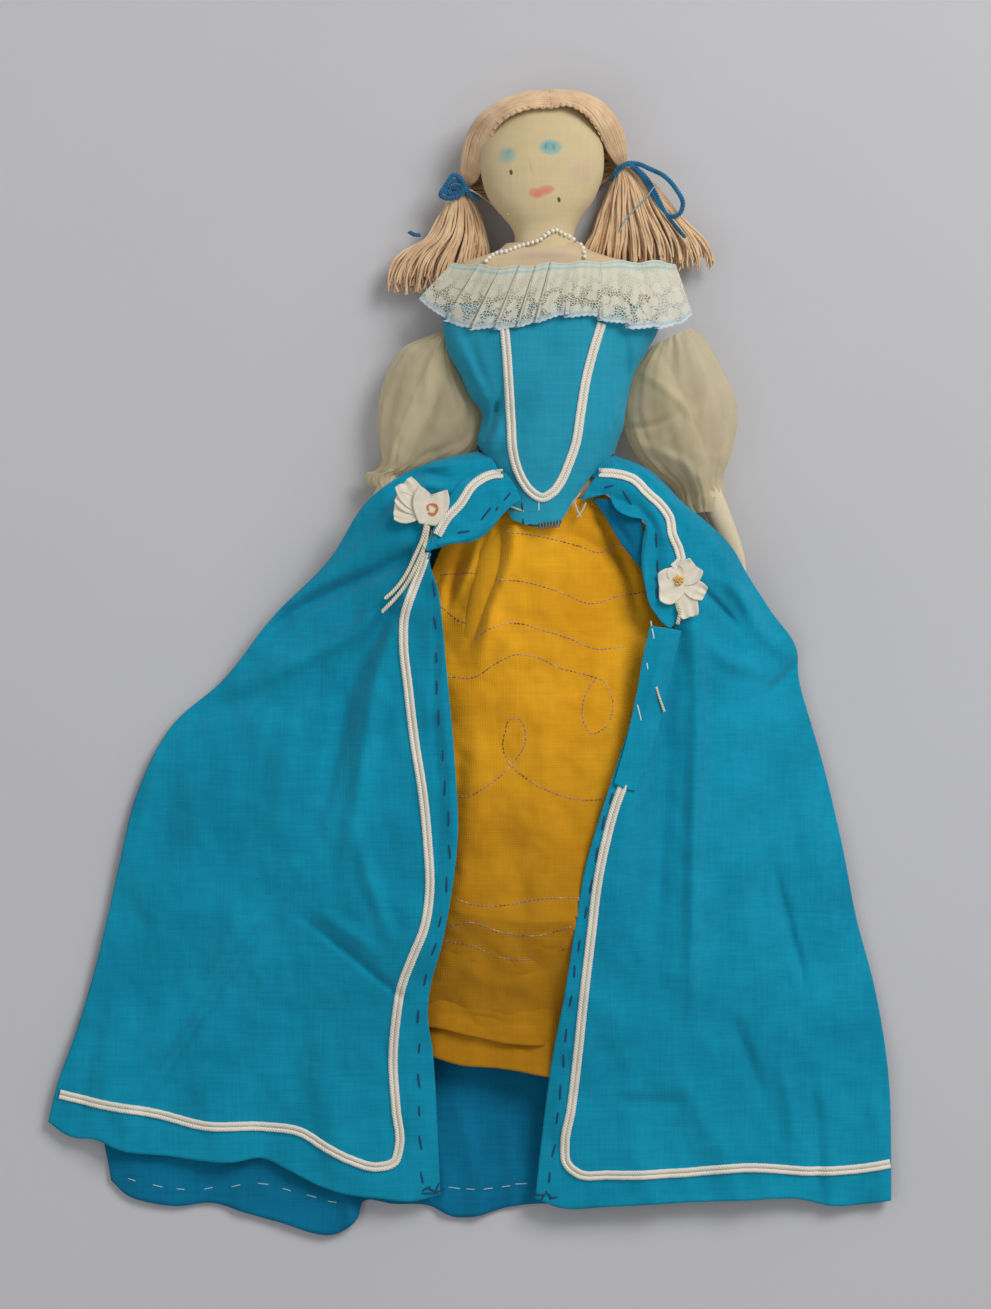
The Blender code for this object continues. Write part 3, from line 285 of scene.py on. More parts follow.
def cotton(name, light, dark, weave=0.0007, slub=0.35, rough=0.85, bump=0.35, deep=None):
    """Plain woven and dyed cotton, matt, with slubs and slow fading; deep darkens it along an axis, as painted shade.
    """
    # Real threads lie about 0.35 mm apart and are drawn about twice as coarse, because finer ones don't
    # show. A wave repeats every 0.314 / scale metres.
    material, tree, shader = surface(name, Roughness=rough, Specular_IOR_Level=0.1, Sheen_Weight=0.1,
                                     Sheen_Roughness=0.5)
    where = add(tree, "ShaderNodeTexCoord").outputs["Object"]
    bands = []
    for way in ("X", "Y"):
        bands.append(add(tree, "ShaderNodeTexWave", {"Vector": where, "Scale": 0.314 / weave, "Distortion": 1.5,
                                                     "Detail": 1.0, "Detail Scale": 0.3}, bands_direction=way))
    weave_height = add(tree, "ShaderNodeMath", {0: bands[0].outputs["Fac"], 1: bands[1].outputs["Fac"]},
                       operation="ADD")
    # Slubs are thick places in single threads, about 1 mm wide and 16 mm long
    slubs = []
    for scale in ((60, 900, 300), (900, 60, 300)):
        stretch = add(tree, "ShaderNodeMapping", {"Vector": where, "Scale": scale})
        slubs.append(add(tree, "ShaderNodeTexNoise", {"Vector": stretch.outputs["Vector"], "Scale": 1.0,
                                                      "Detail": 2.0}).outputs["Fac"])
    both = add(tree, "ShaderNodeMath", {0: slubs[0], 1: slubs[1]}, operation="ADD")
    faded = add(tree, "ShaderNodeTexNoise", {"Vector": where, "Scale": 28.0, "Detail": 4.0, "Roughness": 0.6})
    mix = add(tree, "ShaderNodeMath", {0: both.outputs[0], 1: slub, 2: faded.outputs["Fac"]},
              operation="MULTIPLY_ADD")
    spread = add(tree, "ShaderNodeMapRange", {"Value": mix.outputs[0], "From Min": 0.38 + slub * 0.75,
                                              "From Max": 0.62 + slub * 1.25})
    tone = add(tree, "ShaderNodeValToRGB", {"Fac": spread.outputs[0]})
    tone.color_ramp.elements[0].color = tint(dark)
    tone.color_ramp.elements[1].color = tint(light)
    colour = tone.outputs["Color"]
    # Painted shade: the colour is multiplied towards a darker one along the axis
    if deep:
        axis, start, end, code = deep
        parts = add(tree, "ShaderNodeSeparateXYZ", {"Vector": where})
        far = add(tree, "ShaderNodeMapRange", {"Value": parts.outputs[axis], "From Min": start, "From Max": end},
                  interpolation_type="SMOOTHSTEP")
        colour = add(tree, "ShaderNodeMix", {"Factor": far.outputs[0], "A": colour, "B": tint(code)},
                     data_type="RGBA", blend_type="MULTIPLY").outputs["Result"]
    tree.links.new(colour, shader.inputs["Base Color"])
    height = add(tree, "ShaderNodeMath", {0: both.outputs[0], 1: 1.2, 2: weave_height.outputs[0]},
                 operation="MULTIPLY_ADD")
    relief = add(tree, "ShaderNodeBump", {"Height": height.outputs[0], "Strength": bump, "Distance": 0.00012})
    tree.links.new(relief.outputs["Normal"], shader.inputs["Normal"])
    return material


# The right side of the skirt; a lighter copy for the bodice, painted light where it stands highest towards
# the lamp; and a deeper copy for the wrong side, painted shade where it lies under other cloth
turquoise = cotton("turquoise_cotton", "0E99B9", "0585A4")
turquoise_painted_lit = cotton("turquoise_bodice_painted_light", "2C9FBA", "1F8EAA")
wrong_side_painted_shade = cotton("turquoise_wrong_side_painted_shade", "037AA0", "02668B")


# The edges of each half as the photograph shows them, with heights in mm
half_lines = {
    "left": {
        "left": [(478, 452, 22), (430, 463, 24), (370, 499, 21), (329, 560, 16), (273, 616, 9), (221, 681, 5.5),
                 (173, 723, 4.5), (134, 798, 4), (117, 868, 4), (95, 963, 4), (73, 1037, 4), (54, 1091, 4),
                 (46, 1124, 4)],
        "right": [(502, 478, 29), (470, 486, 32), (447, 512, 34), (433, 543, 34), (430, 560, 34.2), (438, 590, 34.6),
                  (442, 622, 34.6), (449, 690, 34.6), (455, 760, 34.6), (458, 835, 34), (452, 890, 32.5),
                  (441, 948, 28.5), (432, 980, 24), (428, 1010, 20), (433, 1055, 15), (437, 1120, 11),
                  (440, 1196, 8.5)],
        "top": [(478, 452, 22), (490, 458, 26), (502, 478, 29)],
        "bottom": [(46, 1124, 4), (67, 1138, 4.6), (96, 1142, 5.4), (116, 1151, 5.2), (168, 1158, 5), (231, 1164, 6.4),
                   (260, 1160, 6.6), (290, 1173, 6), (317, 1187, 6.2), (340, 1195, 6.8), (378, 1200, 7.4),
                   (414, 1203, 8), (440, 1196, 8.5)],
    },
    "right": {
        "left": [(590, 478, 29), (634, 482, 32), (664, 508, 34), (684, 560, 35), (683, 604, 35), (672, 630, 34.6),
                 (650, 660, 34.6), (637, 700, 34.8), (620, 752, 35), (601, 810, 35), (585, 865, 34), (574, 930, 31),
                 (563, 1000, 25), (552, 1058, 18), (545, 1110, 13), (535, 1200, 8.5)],
        "right": [(614, 456, 22), (646, 469, 24), (685, 505, 22), (706, 522, 21), (731, 547, 19), (747, 574, 16.5),
                  (771, 610, 9), (798, 650, 5.5), (800, 677, 4.5), (812, 722, 4), (821, 752, 4), (842, 838, 4),
                  (859, 923, 4), (876, 987, 4), (890, 1075, 4), (893, 1162, 4), (893, 1203, 4)],
        "top": [(590, 478, 29), (604, 460, 26), (614, 456, 22)],
        "bottom": [(535, 1200, 8.5), (560, 1209, 8.8), (610, 1208, 8), (688, 1204, 7), (745, 1202, 6), (799, 1201, 5.4),
                   (833, 1208, 5), (870, 1206, 4.4), (893, 1203, 4)],
    },
}
# Folds read from the photograph: radiating from the pinned flowers, then down the cloth
half_folds = {
    "left": [
        ([(448, 480), (420, 474), (398, 490), (380, 520)], 6, -3.4, (0.4, 0)),
        ([(470, 462), (440, 466), (412, 478)], 5, 2.2, (0.3, 0)),
        ([(452, 492), (425, 486), (402, 505), (370, 545)], 6, 2.6, (0.6, 0)),
        ([(410, 533), (370, 547), (325, 578), (280, 616), (240, 650)], 12, 3.4, (0.5, 0.1)),
        ([(412, 556), (378, 572), (338, 590), (300, 608), (258, 642)], 7, -5.2, (0.9, 0.1)),
        ([(400, 592), (360, 628), (322, 650), (282, 668), (240, 690)], 10, 3.4, (0.4, 0.1)),
        ([(388, 616), (356, 676), (340, 736), (324, 800), (306, 870)], 11, -3.8, (0.7, 0)),
        ([(406, 600), (388, 642), (373, 700), (363, 760), (352, 830), (334, 890)], 10, 3.8, (0.6, 0)),
        ([(300, 700), (288, 760), (276, 840)], 14, 1.6, (0.2, 0)),
        ([(290, 698), (240, 702), (190, 716), (160, 740)], 13, -2.6, (0, 0.3)),
        ([(302, 918), (338, 944), (370, 970), (402, 996)], 4, -1.9, (0.2, 0.6)),
        ([(306, 904), (345, 928), (380, 956)], 7, 1.4, (0.1, 0.3)),
        ([(292, 888), (244, 950), (204, 1010), (172, 1060), (140, 1108)], 7, -2.4, (0.1, 0.6)),
        ([(274, 898), (230, 950), (188, 1012), (150, 1070)], 11, 1.8, (0.1, 0.3)),
        ([(356, 816), (368, 872), (394, 944)], 8, 2.0, (0, 0.2)),
        ([(240, 740), (206, 800), (176, 880), (150, 960)], 20, 1.8, (0, 0)),
        ([(330, 1000), (322, 1070), (330, 1150)], 16, 2.0, (0, 0.7)),
        ([(262, 1040), (256, 1100), (262, 1160)], 14, -1.8, (0, 0.8)),
        ([(170, 1000), (140, 1080), (120, 1150)], 16, 1.9, (0, 0.9)),
        ([(108, 980), (90, 1050), (76, 1130)], 9, -1.5, (0, 0.8)),
        ([(446, 600), (444, 700), (452, 800), (452, 880)], 5, 0.9, (0.4, 0.6)),
        ([(436, 620), (434, 720), (440, 820), (434, 900)], 4, -0.7, (0.4, 0.6)),
    ],
    "right": [
        ([(690, 520), (716, 548), (738, 590), (762, 650)], 10, 2.6, (0.5, 0)),
        ([(698, 588), (716, 604), (738, 628)], 4, -3.0, (0.6, 0.1)),
        ([(706, 574), (735, 590), (770, 640), (795, 660)], 8, 2.2, (0.4, 0.2)),
        ([(800, 662), (786, 678), (766, 698)], 5, -2.8, (0.8, 0)),
        ([(700, 640), (735, 664), (765, 672)], 9, 2.4, (0.3, 0.2)),
        ([(676, 636), (666, 700), (662, 780), (658, 860), (656, 940), (656, 1010)], 14, -4.4, (0.9, 0)),
        ([(692, 632), (697, 690), (695, 770), (693, 860), (692, 960), (692, 1070)], 9, 4.4, (0.5, 0)),
        ([(650, 700), (634, 770), (622, 850), (610, 950)], 11, 2.2, (0.5, 0)),
        ([(726, 690), (736, 790), (744, 880), (748, 980)], 18, 1.6, (0.3, 0)),
        ([(768, 850), (782, 900), (798, 960), (810, 1010)], 6, -2.4, (0, 0)),
        ([(800, 760), (818, 860), (836, 960)], 14, 2.0, (0, 0)),
        ([(606, 1098), (650, 1104), (700, 1100)], 8, -1.4, (0, 0)),
        ([(730, 1010), (752, 1070), (766, 1110)], 8, -2.2, (0, 0)),
        ([(776, 1040), (790, 1100), (796, 1160)], 9, 2.4, (0, 0.4)),
        ([(810, 1060), (816, 1110), (822, 1206)], 7, -2.0, (0, 0.9)),
        ([(660, 1040), (700, 1110), (742, 1204)], 14, 1.6, (0, 0.7)),
        ([(610, 980), (622, 1060), (640, 1140), (652, 1206)], 14, 1.4, (0, 0.8)),
        ([(868, 1080), (880, 1140), (884, 1204)], 8, 1.0, (0.2, 0.8)),
        ([(636, 740), (606, 810), (590, 880), (572, 980)], 4, -0.5, (0.4, 0.6)),
    ],
}
fold_lines = {"left": ((-0.01748, 0.04164, 0.03293), (-0.40707, -0.90901, -0.08944)),
              "right": ((0.08238, 0.01342, 0.03293), (0.2076, -0.97311, -0.09984))}
halves = {}
for label, side in (("left", 1), ("right", -1)):
    lines = half_lines[label]
    grid = patch(lines["left"], lines["right"], lines["top"], lines["bottom"], 160, 280)
    inward = np.linspace(0, 1, grid.shape[1])[None, :]
    grid[..., 2] += 2.6 * np.sin(np.pi * inward) ** 0.8 * np.linspace(0.3, 1, grid.shape[0])[:, None]
    fold(grid, *half_folds[label])
    crumple(grid, 60, 1.8, 3 + side, 1.7)
    crumple(grid, 31, 1.1, 6 + side, 1.3)
    crumple(grid, 15, 0.45, 9 + side, 1.4)
    grid[..., 2] = np.maximum(grid[..., 2], 3.1)
    half = halves[label] = skin("overskirt_" + label, plan(grid), turquoise, 0.0006)
    pin, down = (np.array(values) for values in fold_lines[label])
    middle = pin + down * 0.12
    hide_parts("overskirt_side_" + label, "overskirt_front_" + label)


def bends(piece):
    """Bake the place of a piece on the skirt into its mesh."""
    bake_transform(piece)


# Swags
# The front edges of the skirt above the flowers, of the same turquoise cotton. They are pulled up,
# turned under and pinned, so that they hang in a soft roll.
swag_lines = {
    "left": {"left": [(489, 470, 31), (466, 480, 33.5), (448, 500, 35.5), (434, 530, 36), (424, 548, 35.5)],
             "right": [(521, 501, 36.5), (510, 508, 37), (496, 524, 37), (485, 536, 36.8), (474, 542, 36.5),
                       (452, 545, 36), (432, 551, 34.5)],
             "top": [(489, 470, 31), (503, 473, 33.5), (514, 486, 35.5), (521, 501, 36.5)],
             "bottom": [(424, 548, 35.5), (428, 552, 35.2), (432, 551, 34.5)]},
    "right": {"left": [(580, 502, 36.5), (595, 497, 37), (607, 496, 37), (615, 511, 37), (628, 518, 37),
                       (643, 521, 36.5), (641, 543, 36.8), (640, 566, 37), (644, 588, 37), (648, 604, 36.8),
                       (660, 622, 36)],
              "right": [(611, 462, 31), (632, 468, 33), (652, 482, 34.5), (668, 500, 35.5), (684, 530, 36),
                        (690, 560, 36), (688, 590, 36), (676, 622, 35.5)],
              "top": [(580, 502, 36.5), (588, 488, 35.5), (598, 474, 33.5), (611, 462, 31)],
              "bottom": [(660, 622, 36), (668, 628, 36), (676, 622, 35.5)]},
}
swag_folds = {
    "left": [([(507, 480), (484, 492), (466, 510), (448, 534)], 6, 1.3, (0.5, 0.4)),
             ([(514, 492), (494, 508), (478, 524), (456, 538)], 5, -0.7, (0.5, 0.4)),
             ([(519, 500), (497, 520), (474, 537), (440, 545)], 3, 1.2, (0.6, 0.7))],
    "right": [([(600, 480), (630, 490), (652, 512), (664, 540), (668, 580)], 6, 1.3, (0.5, 0.4)),
              ([(590, 493), (616, 500), (640, 512), (654, 530)], 4, -0.8, (0.5, 0.5)),
              ([(586, 500), (606, 500), (620, 514), (644, 524), (643, 560), (646, 600)], 3, 1.2, (0.5, 0.6)),
              ([(654, 530), (655, 560), (658, 596)], 4, -0.6, (0.4, 0.5))],
}
swags = {}
for label, lines in swag_lines.items():
    grid = patch(lines["left"], lines["right"], lines["top"], lines["bottom"], 60, 110)
    fold(grid, *swag_folds[label])
    crumple(grid, 13, 0.5, 21, 1.2)
    swags[label] = skin("swag_cloth_" + label, plan(grid), turquoise, 0.0006)
    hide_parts("swag_" + label)
    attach(swags[label], "doll")

# Back of the skirt
# The same turquoise cotton, laid on the table with its wrong side up, and drawn darker as painted shade,
# for it lies under the fronts and the petticoat. Its hem shows below the left front and between the fronts.
grid = patch([(470, 548, 1.6), (342, 560, 1.6), (276, 640, 1.6), (206, 720, 1.6), (150, 830, 1.6), (133, 950, 1.6),
              (112, 1060, 2.0), (100, 1120, 2.2), (109, 1183, 1.8)],
             [(620, 548, 1.6), (735, 560, 1.6), (776, 640, 1.6), (795, 720, 1.6), (820, 830, 1.6), (846, 950, 1.6),
              (866, 1060, 1.6), (878, 1130, 1.6), (880, 1195, 1.6)],
             [(470, 548, 1.6), (545, 545, 1.6), (620, 548, 1.6)],
             [(109, 1183, 1.8), (125, 1198, 2.2), (150, 1206, 2.6), (173, 1209, 2.4), (211, 1206, 1.8),
              (245, 1216, 2.2), (274, 1224, 2.8), (340, 1235, 3), (357, 1221, 3), (362, 1205, 2), (393, 1207, 1.5),
              (430, 1209, 1.6), (454, 1220, 2.2), (471, 1220, 2.2), (508, 1210, 1.6), (620, 1209, 1.5),
              (750, 1200, 1.5), (880, 1195, 1.6)], 200, 160)
fold(grid, ([(330, 1150), (344, 1190), (352, 1236)], 7, 1.5, (0, 1)),
     ([(240, 1150), (236, 1190), (240, 1222)], 9, 0.9, (0, 1)),
     ([(452, 1090), (470, 1150), (478, 1222)], 8, 1.4, (0.1, 1)),
     ([(500, 1080), (508, 1150), (516, 1210)], 7, 1.0, (0.1, 1)),
     ([(430, 1120), (440, 1170), (444, 1214)], 6, 0.9, (0.1, 1)))
crumple(grid, 26, 0.35, 31)
grid[..., 2] = np.maximum(grid[..., 2], 0.7)
back = skin("overskirt_back_cloth", plan(grid), wrong_side_painted_shade, 0.0006)
back.data.materials.append(turquoise)
back.modifiers["cloth"].material_offset = 1
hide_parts("overskirt_back")
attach(back, "doll")

# Petticoat
# Yellow plain-weave cotton over the hidden doll, gathered at the waist with deep pleats at the left. A
# second layer hangs a little lower at its hem. The skirt fronts press it down where they cross it.
# Painted shade: the yellow is multiplied towards grey further down the skirt, where less light reaches it
yellow = cotton("yellow_cotton", "F2B023", "DE9A18", slub=0.22, deep=("Y", 0.02, -0.13, "C2BDB4"))
petticoat = patch([(488, 498, 22), (452, 530, 20), (428, 580, 12), (410, 640, 8), (392, 730, 5), (380, 850, 4),
                   (374, 960, 4), (372, 1034, 4)],
                  [(604, 494, 22), (655, 535, 18), (690, 620, 10), (704, 740, 5), (712, 860, 4), (716, 960, 4),
                   (720, 1040, 4)],
                  [(488, 498, 22), (510, 503, 28.5), (535, 505, 31), (560, 503, 31.5), (582, 499, 30.5),
                   (604, 494, 22)],
                  [(372, 1034, 4), (410, 1028, 9), (433, 1028, 12.5), (470, 1036, 15.5), (512, 1044, 16.8),
                   (550, 1046, 17),
                   (600, 1046, 15), (660, 1042, 9), (720, 1040, 4)], 160, 260)
across = np.linspace(-1, 1, petticoat.shape[1])[None, :]
down = np.linspace(0, 1, petticoat.shape[0])[:, None]
crown = np.sqrt(np.clip(1 - across ** 2, 0, 1)) * np.interp(down, (0, 0.04, 0.78, 0.92, 1), (0, 0.9, 1, 0.5, 0))
crown = 30.4 * crown * np.interp(down, (0, 0.1, 0.3, 1), (0.98, 1, 1, 1))
petticoat[..., 2] = np.maximum(petticoat[..., 2], crown + 2.2)
fold(petticoat, ([(478, 520), (470, 560), (458, 600), (450, 660)], 20, -5.5, (1, 0)),
     ([(500, 527), (494, 560), (480, 604), (466, 660)], 6, -3.0, (0.9, 0)),
     ([(516, 528), (510, 560), (494, 606), (478, 670)], 7, 2.2, (0.8, 0)),
     ([(478, 540), (470, 566), (456, 600)], 5, 2.2, (0.6, 0)),
     ([(462, 545), (452, 580), (446, 620)], 5, -2.6, (0.6, 0)),
     ([(600, 520), (626, 570), (640, 640)], 7, -2.0, (0.6, 0)),
     ([(470, 700), (456, 800), (448, 920)], 10, -1.6, (0, 0)),
     ([(560, 690), (540, 760), (552, 850), (540, 960)], 14, 1.1, (0, 0)),
     ([(600, 620), (592, 720), (578, 840)], 12, 1.2, (0, 0)),
     ([(500, 800), (520, 880), (508, 960)], 12, -1.2, (0, 0)),
     ([(455, 950), (500, 972), (548, 966)], 9, 1.0, (0, 0)),
     ([(440, 1010), (490, 1022), (546, 1024)], 5, -0.8, (0, 0)))
crumple(petticoat, 44, 1.5, 41)
crumple(petticoat, 24, 0.9, 42)
crumple(petticoat, 12, 0.35, 43)


def tuck(grid, trees, clear):
    """Lower a cloth wherever the cloth above it would touch it."""
    for place in grid.reshape(-1, 3):
        start = Vector(plan((place[0], place[1], 0.2)))
        for tree in trees:
            hit = tree.ray_cast(start, Vector((0, 0, 1)))[0]
            if hit:
                place[2] = min(place[2], hit.z * 1000 - clear)


tuck(petticoat, tree_of(*halves.values(), *swags.values()), 1.3)
petticoat[..., 2] = np.clip(petticoat[..., 2], 3.4, 33.6)
skirt = skin("petticoat_cloth", plan(petticoat), yellow, 0.0005)
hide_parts("petticoat_front")
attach(skirt, "doll")

# The second layer is cut from the lower rows of the first, hangs below it and has a wavy hem
hem = petticoat[-60:, 8:-8].copy()
hem[..., 1] += 29 * np.linspace(0, 1, 60)[:, None] + 3 * np.sin(hem[..., 0] / 17) * np.linspace(0, 1, 60)[:, None]
hem[..., 2] -= 1.3
hem[..., 2] = np.maximum(hem[..., 2], 2.6)
lining = skin("petticoat_lining_cloth", plan(hem), yellow, 0.0005)
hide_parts("petticoat_lining")
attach(lining, "doll")


# Soutache
# Cream braid of two cords wrapped in thread with a groove between them. It is sewn along the swags, the
# skirt fronts and the hem through its groove.
def make_soutache():
    """Spun thread wound over two cords: a soft gleam, slanted ribs and a groove darkened with painted shade."""
    material, tree, shader = surface("soutache", Roughness=0.55, Specular_IOR_Level=0.3, Sheen_Weight=0.2)
    share = add(tree, "ShaderNodeAttribute", attribute_name="share").outputs["Vector"]
    parts = add(tree, "ShaderNodeSeparateXYZ", {"Vector": share})
    # The ribs are about 0.5 mm apart on real braid and are drawn 1.1 mm apart, so that they show
    lean = add(tree, "ShaderNodeMath", {0: parts.outputs["X"], 1: 0.5}, operation="SUBTRACT")
    apart = add(tree, "ShaderNodeMath", {0: lean.outputs[0]}, operation="ABSOLUTE")
    slant = add(tree, "ShaderNodeMath", {0: apart.outputs[0], 1: 0.004, 2: parts.outputs["Z"]},
                operation="MULTIPLY_ADD")
    ribs = add(tree, "ShaderNodeMath", {0: slant.outputs[0], 1: 2 * math.pi / 0.0011}, operation="MULTIPLY")
    rib = add(tree, "ShaderNodeMath", {0: ribs.outputs[0]}, operation="SINE")
    relief = add(tree, "ShaderNodeBump", {"Height": rib.outputs[0], "Strength": 0.5, "Distance": 0.0002})
    tree.links.new(relief.outputs["Normal"], shader.inputs["Normal"])
    # Painted shade: the groove between the two cords is drawn darker
    groove = add(tree, "ShaderNodeMapRange", {"Value": apart.outputs[0], "From Min": 0.0, "From Max": 0.09},
                 interpolation_type="SMOOTHSTEP")
    tone = add(tree, "ShaderNodeMix", {"Factor": groove.outputs[0], "A": tint("B9AD97"), "B": tint("EDE7D8")},
               data_type="RGBA")
    tree.links.new(tone.outputs["Result"], shader.inputs["Base Color"])
    return material


soutache = make_soutache()
# Across the braid: shares of its half width and of its height
BRAID_PROFILE = [(-1, 0.0), (-0.97, 0.55), (-0.75, 0.95), (-0.5, 1.0), (-0.22, 0.8), (-0.06, 0.35), (0.06, 0.35),
                 (0.22, 0.8), (0.5, 1.0), (0.75, 0.95), (0.97, 0.55), (1, 0.0)]


def braid(name, carriers, line, nodes, half_width=4.7):
    """Soutache along a line of photograph places, seated on its carriers across its whole width."""
    trees = tree_of(*carriers)
    length = np.linalg.norm(np.diff(np.array(line, float), axis=0), axis=1).sum()
    count = int(length / 2.2) + 2
    middle = run(line, np.linspace(0, 1, count))
    along = np.gradient(middle, axis=0)
    aside = np.column_stack([along[:, 1], -along[:, 0]]) / np.linalg.norm(along, axis=1)[:, None]
    low = {}
    for share in (-1, -0.5, 0, 0.5, 1):
        low[share] = seated(trees, middle + aside * share * half_width)[:, 2]
    floor = np.maximum.reduce([low[-0.5], low[0.5], low[0]]) * 0.5
    rows = []
    for share, rise in BRAID_PROFILE:
        ground = np.interp(share, (-1, -0.5, 0, 0.5, 1), (0, 1, 2, 3, 4))
        before, after = sorted(low)[int(ground)], sorted(low)[min(4, int(ground) + 1)]
        part = ground - int(ground)
        height = low[before] * (1 - part) + low[after] * part
        height = np.where(height < floor, low[0], height)
        wobble = 0.06 * np.sin(np.arange(count) * 1.3)
        rows.append(np.column_stack([middle + aside * (share + wobble[:, None] * 0.3) * half_width,
                                     height + 0.05 + rise * 1.15]))
    grid = np.stack(rows, axis=1)
    piece = skin(name, plan(grid), soutache, 0.0)
    share = piece.data.attributes["share"]
    values = np.empty(len(piece.data.vertices) * 3)
    share.data.foreach_get("vector", values)
    values[2::3] = values[1::3] * length * 0.0004
    share.data.foreach_set("vector", values)
    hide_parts(*nodes)
    return piece


for label, line in (
        ("left", [(503, 475), (492, 476), (474, 486), (460, 506), (447, 520), (438, 536)]),
        ("right", [(598, 474), (614, 475), (633, 481), (646, 494), (660, 507), (668, 519), (671, 536), (677, 550),
                   (679, 561), (672, 569)])):
    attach(braid("braid_swag_" + label, [swags[label], halves[label]], line, ["swag_braid_" + label]), "doll")
for label, line in (
        ("left", [(427, 553), (422, 568), (413, 592), (405, 618), (404, 640), (409, 690), (415, 740), (423, 790),
                  (428, 840), (430, 890), (425, 925), (412, 958), (402, 985), (396, 1020), (393, 1060), (396, 1110),
                  (399, 1148), (394, 1163), (377, 1168), (350, 1161), (325, 1148), (300, 1133), (262, 1128),
                  (205, 1127), (150, 1114), (100, 1106), (58, 1096)]),
        ("right", [(631, 744), (625, 775), (614, 806), (605, 840), (597, 880), (591, 930), (584, 990), (578, 1050),
                   (571, 1110), (565, 1146), (567, 1164), (578, 1174), (610, 1176), (680, 1174), (752, 1169),
                   (816, 1173), (860, 1171), (892, 1166)])):
    piece = braid("braid_front_" + label, [halves[label]], line, ["front_braid_" + label, "hem_braid_" + label])
    bends(piece)


# Running stitches
# Dark blue cotton thread in long hand stitches along the fronts and the swags, and pale thread along
# the back hem. Each stitch dips into the cloth at both ends.
def threads(name, carriers, dashes, thickness, material, lift=0.12):
    """Short stitches: each dash is a place and a heading in degrees, half in and half out of the cloth."""
    trees = tree_of(*carriers)
    paths = []
    for x, y, heading, half in dashes:
        way = np.array([math.cos(math.radians(heading)), -math.sin(math.radians(heading))])
        places = np.array([x, y]) + np.linspace(-1, 1, 5)[:, None] * way * half
        path = seated(trees, places, lift)
        path[:, 2] = np.maximum(path[:, 2], path[:, 2].max() - 1.5)
        path[[0, -1], 2] -= 0.25
        paths.append(plan(path))
    return paths_mesh(name, paths, thickness, material, sides=1)


def dashes_along(line, spacing, half, seed, spread=0.6):
    """Stitches spaced along a line, a little uneven as hand sewing is."""
    dice = random.Random(seed)
    length = np.linalg.norm(np.diff(np.array(line, float), axis=0), axis=1).sum()
    out = []
    for share in np.arange(spacing / 2, length, spacing) / length:
        share = min(0.995, max(0.005, share + dice.uniform(-0.1, 0.1) * spacing / length))
        here, ahead = run(line, [share])[0], run(line, [min(1, share + 0.004)])[0]
        heading = math.degrees(math.atan2(-(ahead[1] - here[1]), ahead[0] - here[0])) + dice.uniform(-9, 9)
        out.append((here[0] + dice.uniform(-spread, spread), here[1], heading, half * dice.uniform(0.75, 1.2)))
    return out


# Spun cotton thread: matt, one even tone
navy = surface("navy_thread", Base_Color=tint("0A3C66"), Roughness=0.6)[0]
white_thread = surface("white_thread", Base_Color=tint("DCE6EA"), Roughness=0.6)[0]
front_stitches = {
    "left": dashes_along([(433, 572), (436, 620), (437, 680), (446, 790), (450, 850), (444, 900), (434, 950),
                          (424, 985), (419, 1010), (419, 1060), (420, 1120), (422, 1182)], 33, 6.5, 5)
    + [(426, 1190, 30, 5), (431, 1191, -30, 5), (437, 1189, 70, 5), (441, 1192, 20, 4), (430, 1195, 0, 9)],
    "right": dashes_along([(616, 782), (604, 815), (597, 848), (590, 885), (582, 925), (575, 960),
                           (569, 1010), (563, 1060), (557, 1120), (549, 1185)], 30, 6.5, 6)
    + [(538, 1196, 0, 5), (543, 1198, 60, 4), (549, 1196, -50, 5), (553, 1199, 10, 4)],
}
for label, dashes in front_stitches.items():
    piece = threads("front_stitches_" + label, [halves[label]], dashes, 0.0007, navy)
    bends(piece)
for label, dashes in (("left", [(507, 498, 50, 5), (486, 515, 52, 8), (464, 533, 8, 6), (497, 510, 60, 2)]),
                      ("right", [(608, 488, 15, 5), (626, 499, -58, 8), (655, 541, -88, 7), (656, 567, -88, 6),
                                 (640, 484, -30, 4), (655, 594, -88, 5)])):
    piece = threads("swag_stitches_" + label, [swags[label]], dashes, 0.0007, navy)
    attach(piece, "doll")
hem_dashes = (dashes_along([(118, 1180), (180, 1192), (240, 1188)], 26, 5, 7)
              + dashes_along([(252, 1184), (300, 1196), (345, 1208)], 24, 5, 8)
              + dashes_along([(446, 1190), (480, 1192), (526, 1186)], 17, 5, 9))
pale_thread = surface("pale_thread", Base_Color=tint("A8C8D4"), Roughness=0.6)[0]
piece = threads("hem_stitches", [back], hem_dashes, 0.00042, pale_thread)
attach(piece, "doll")

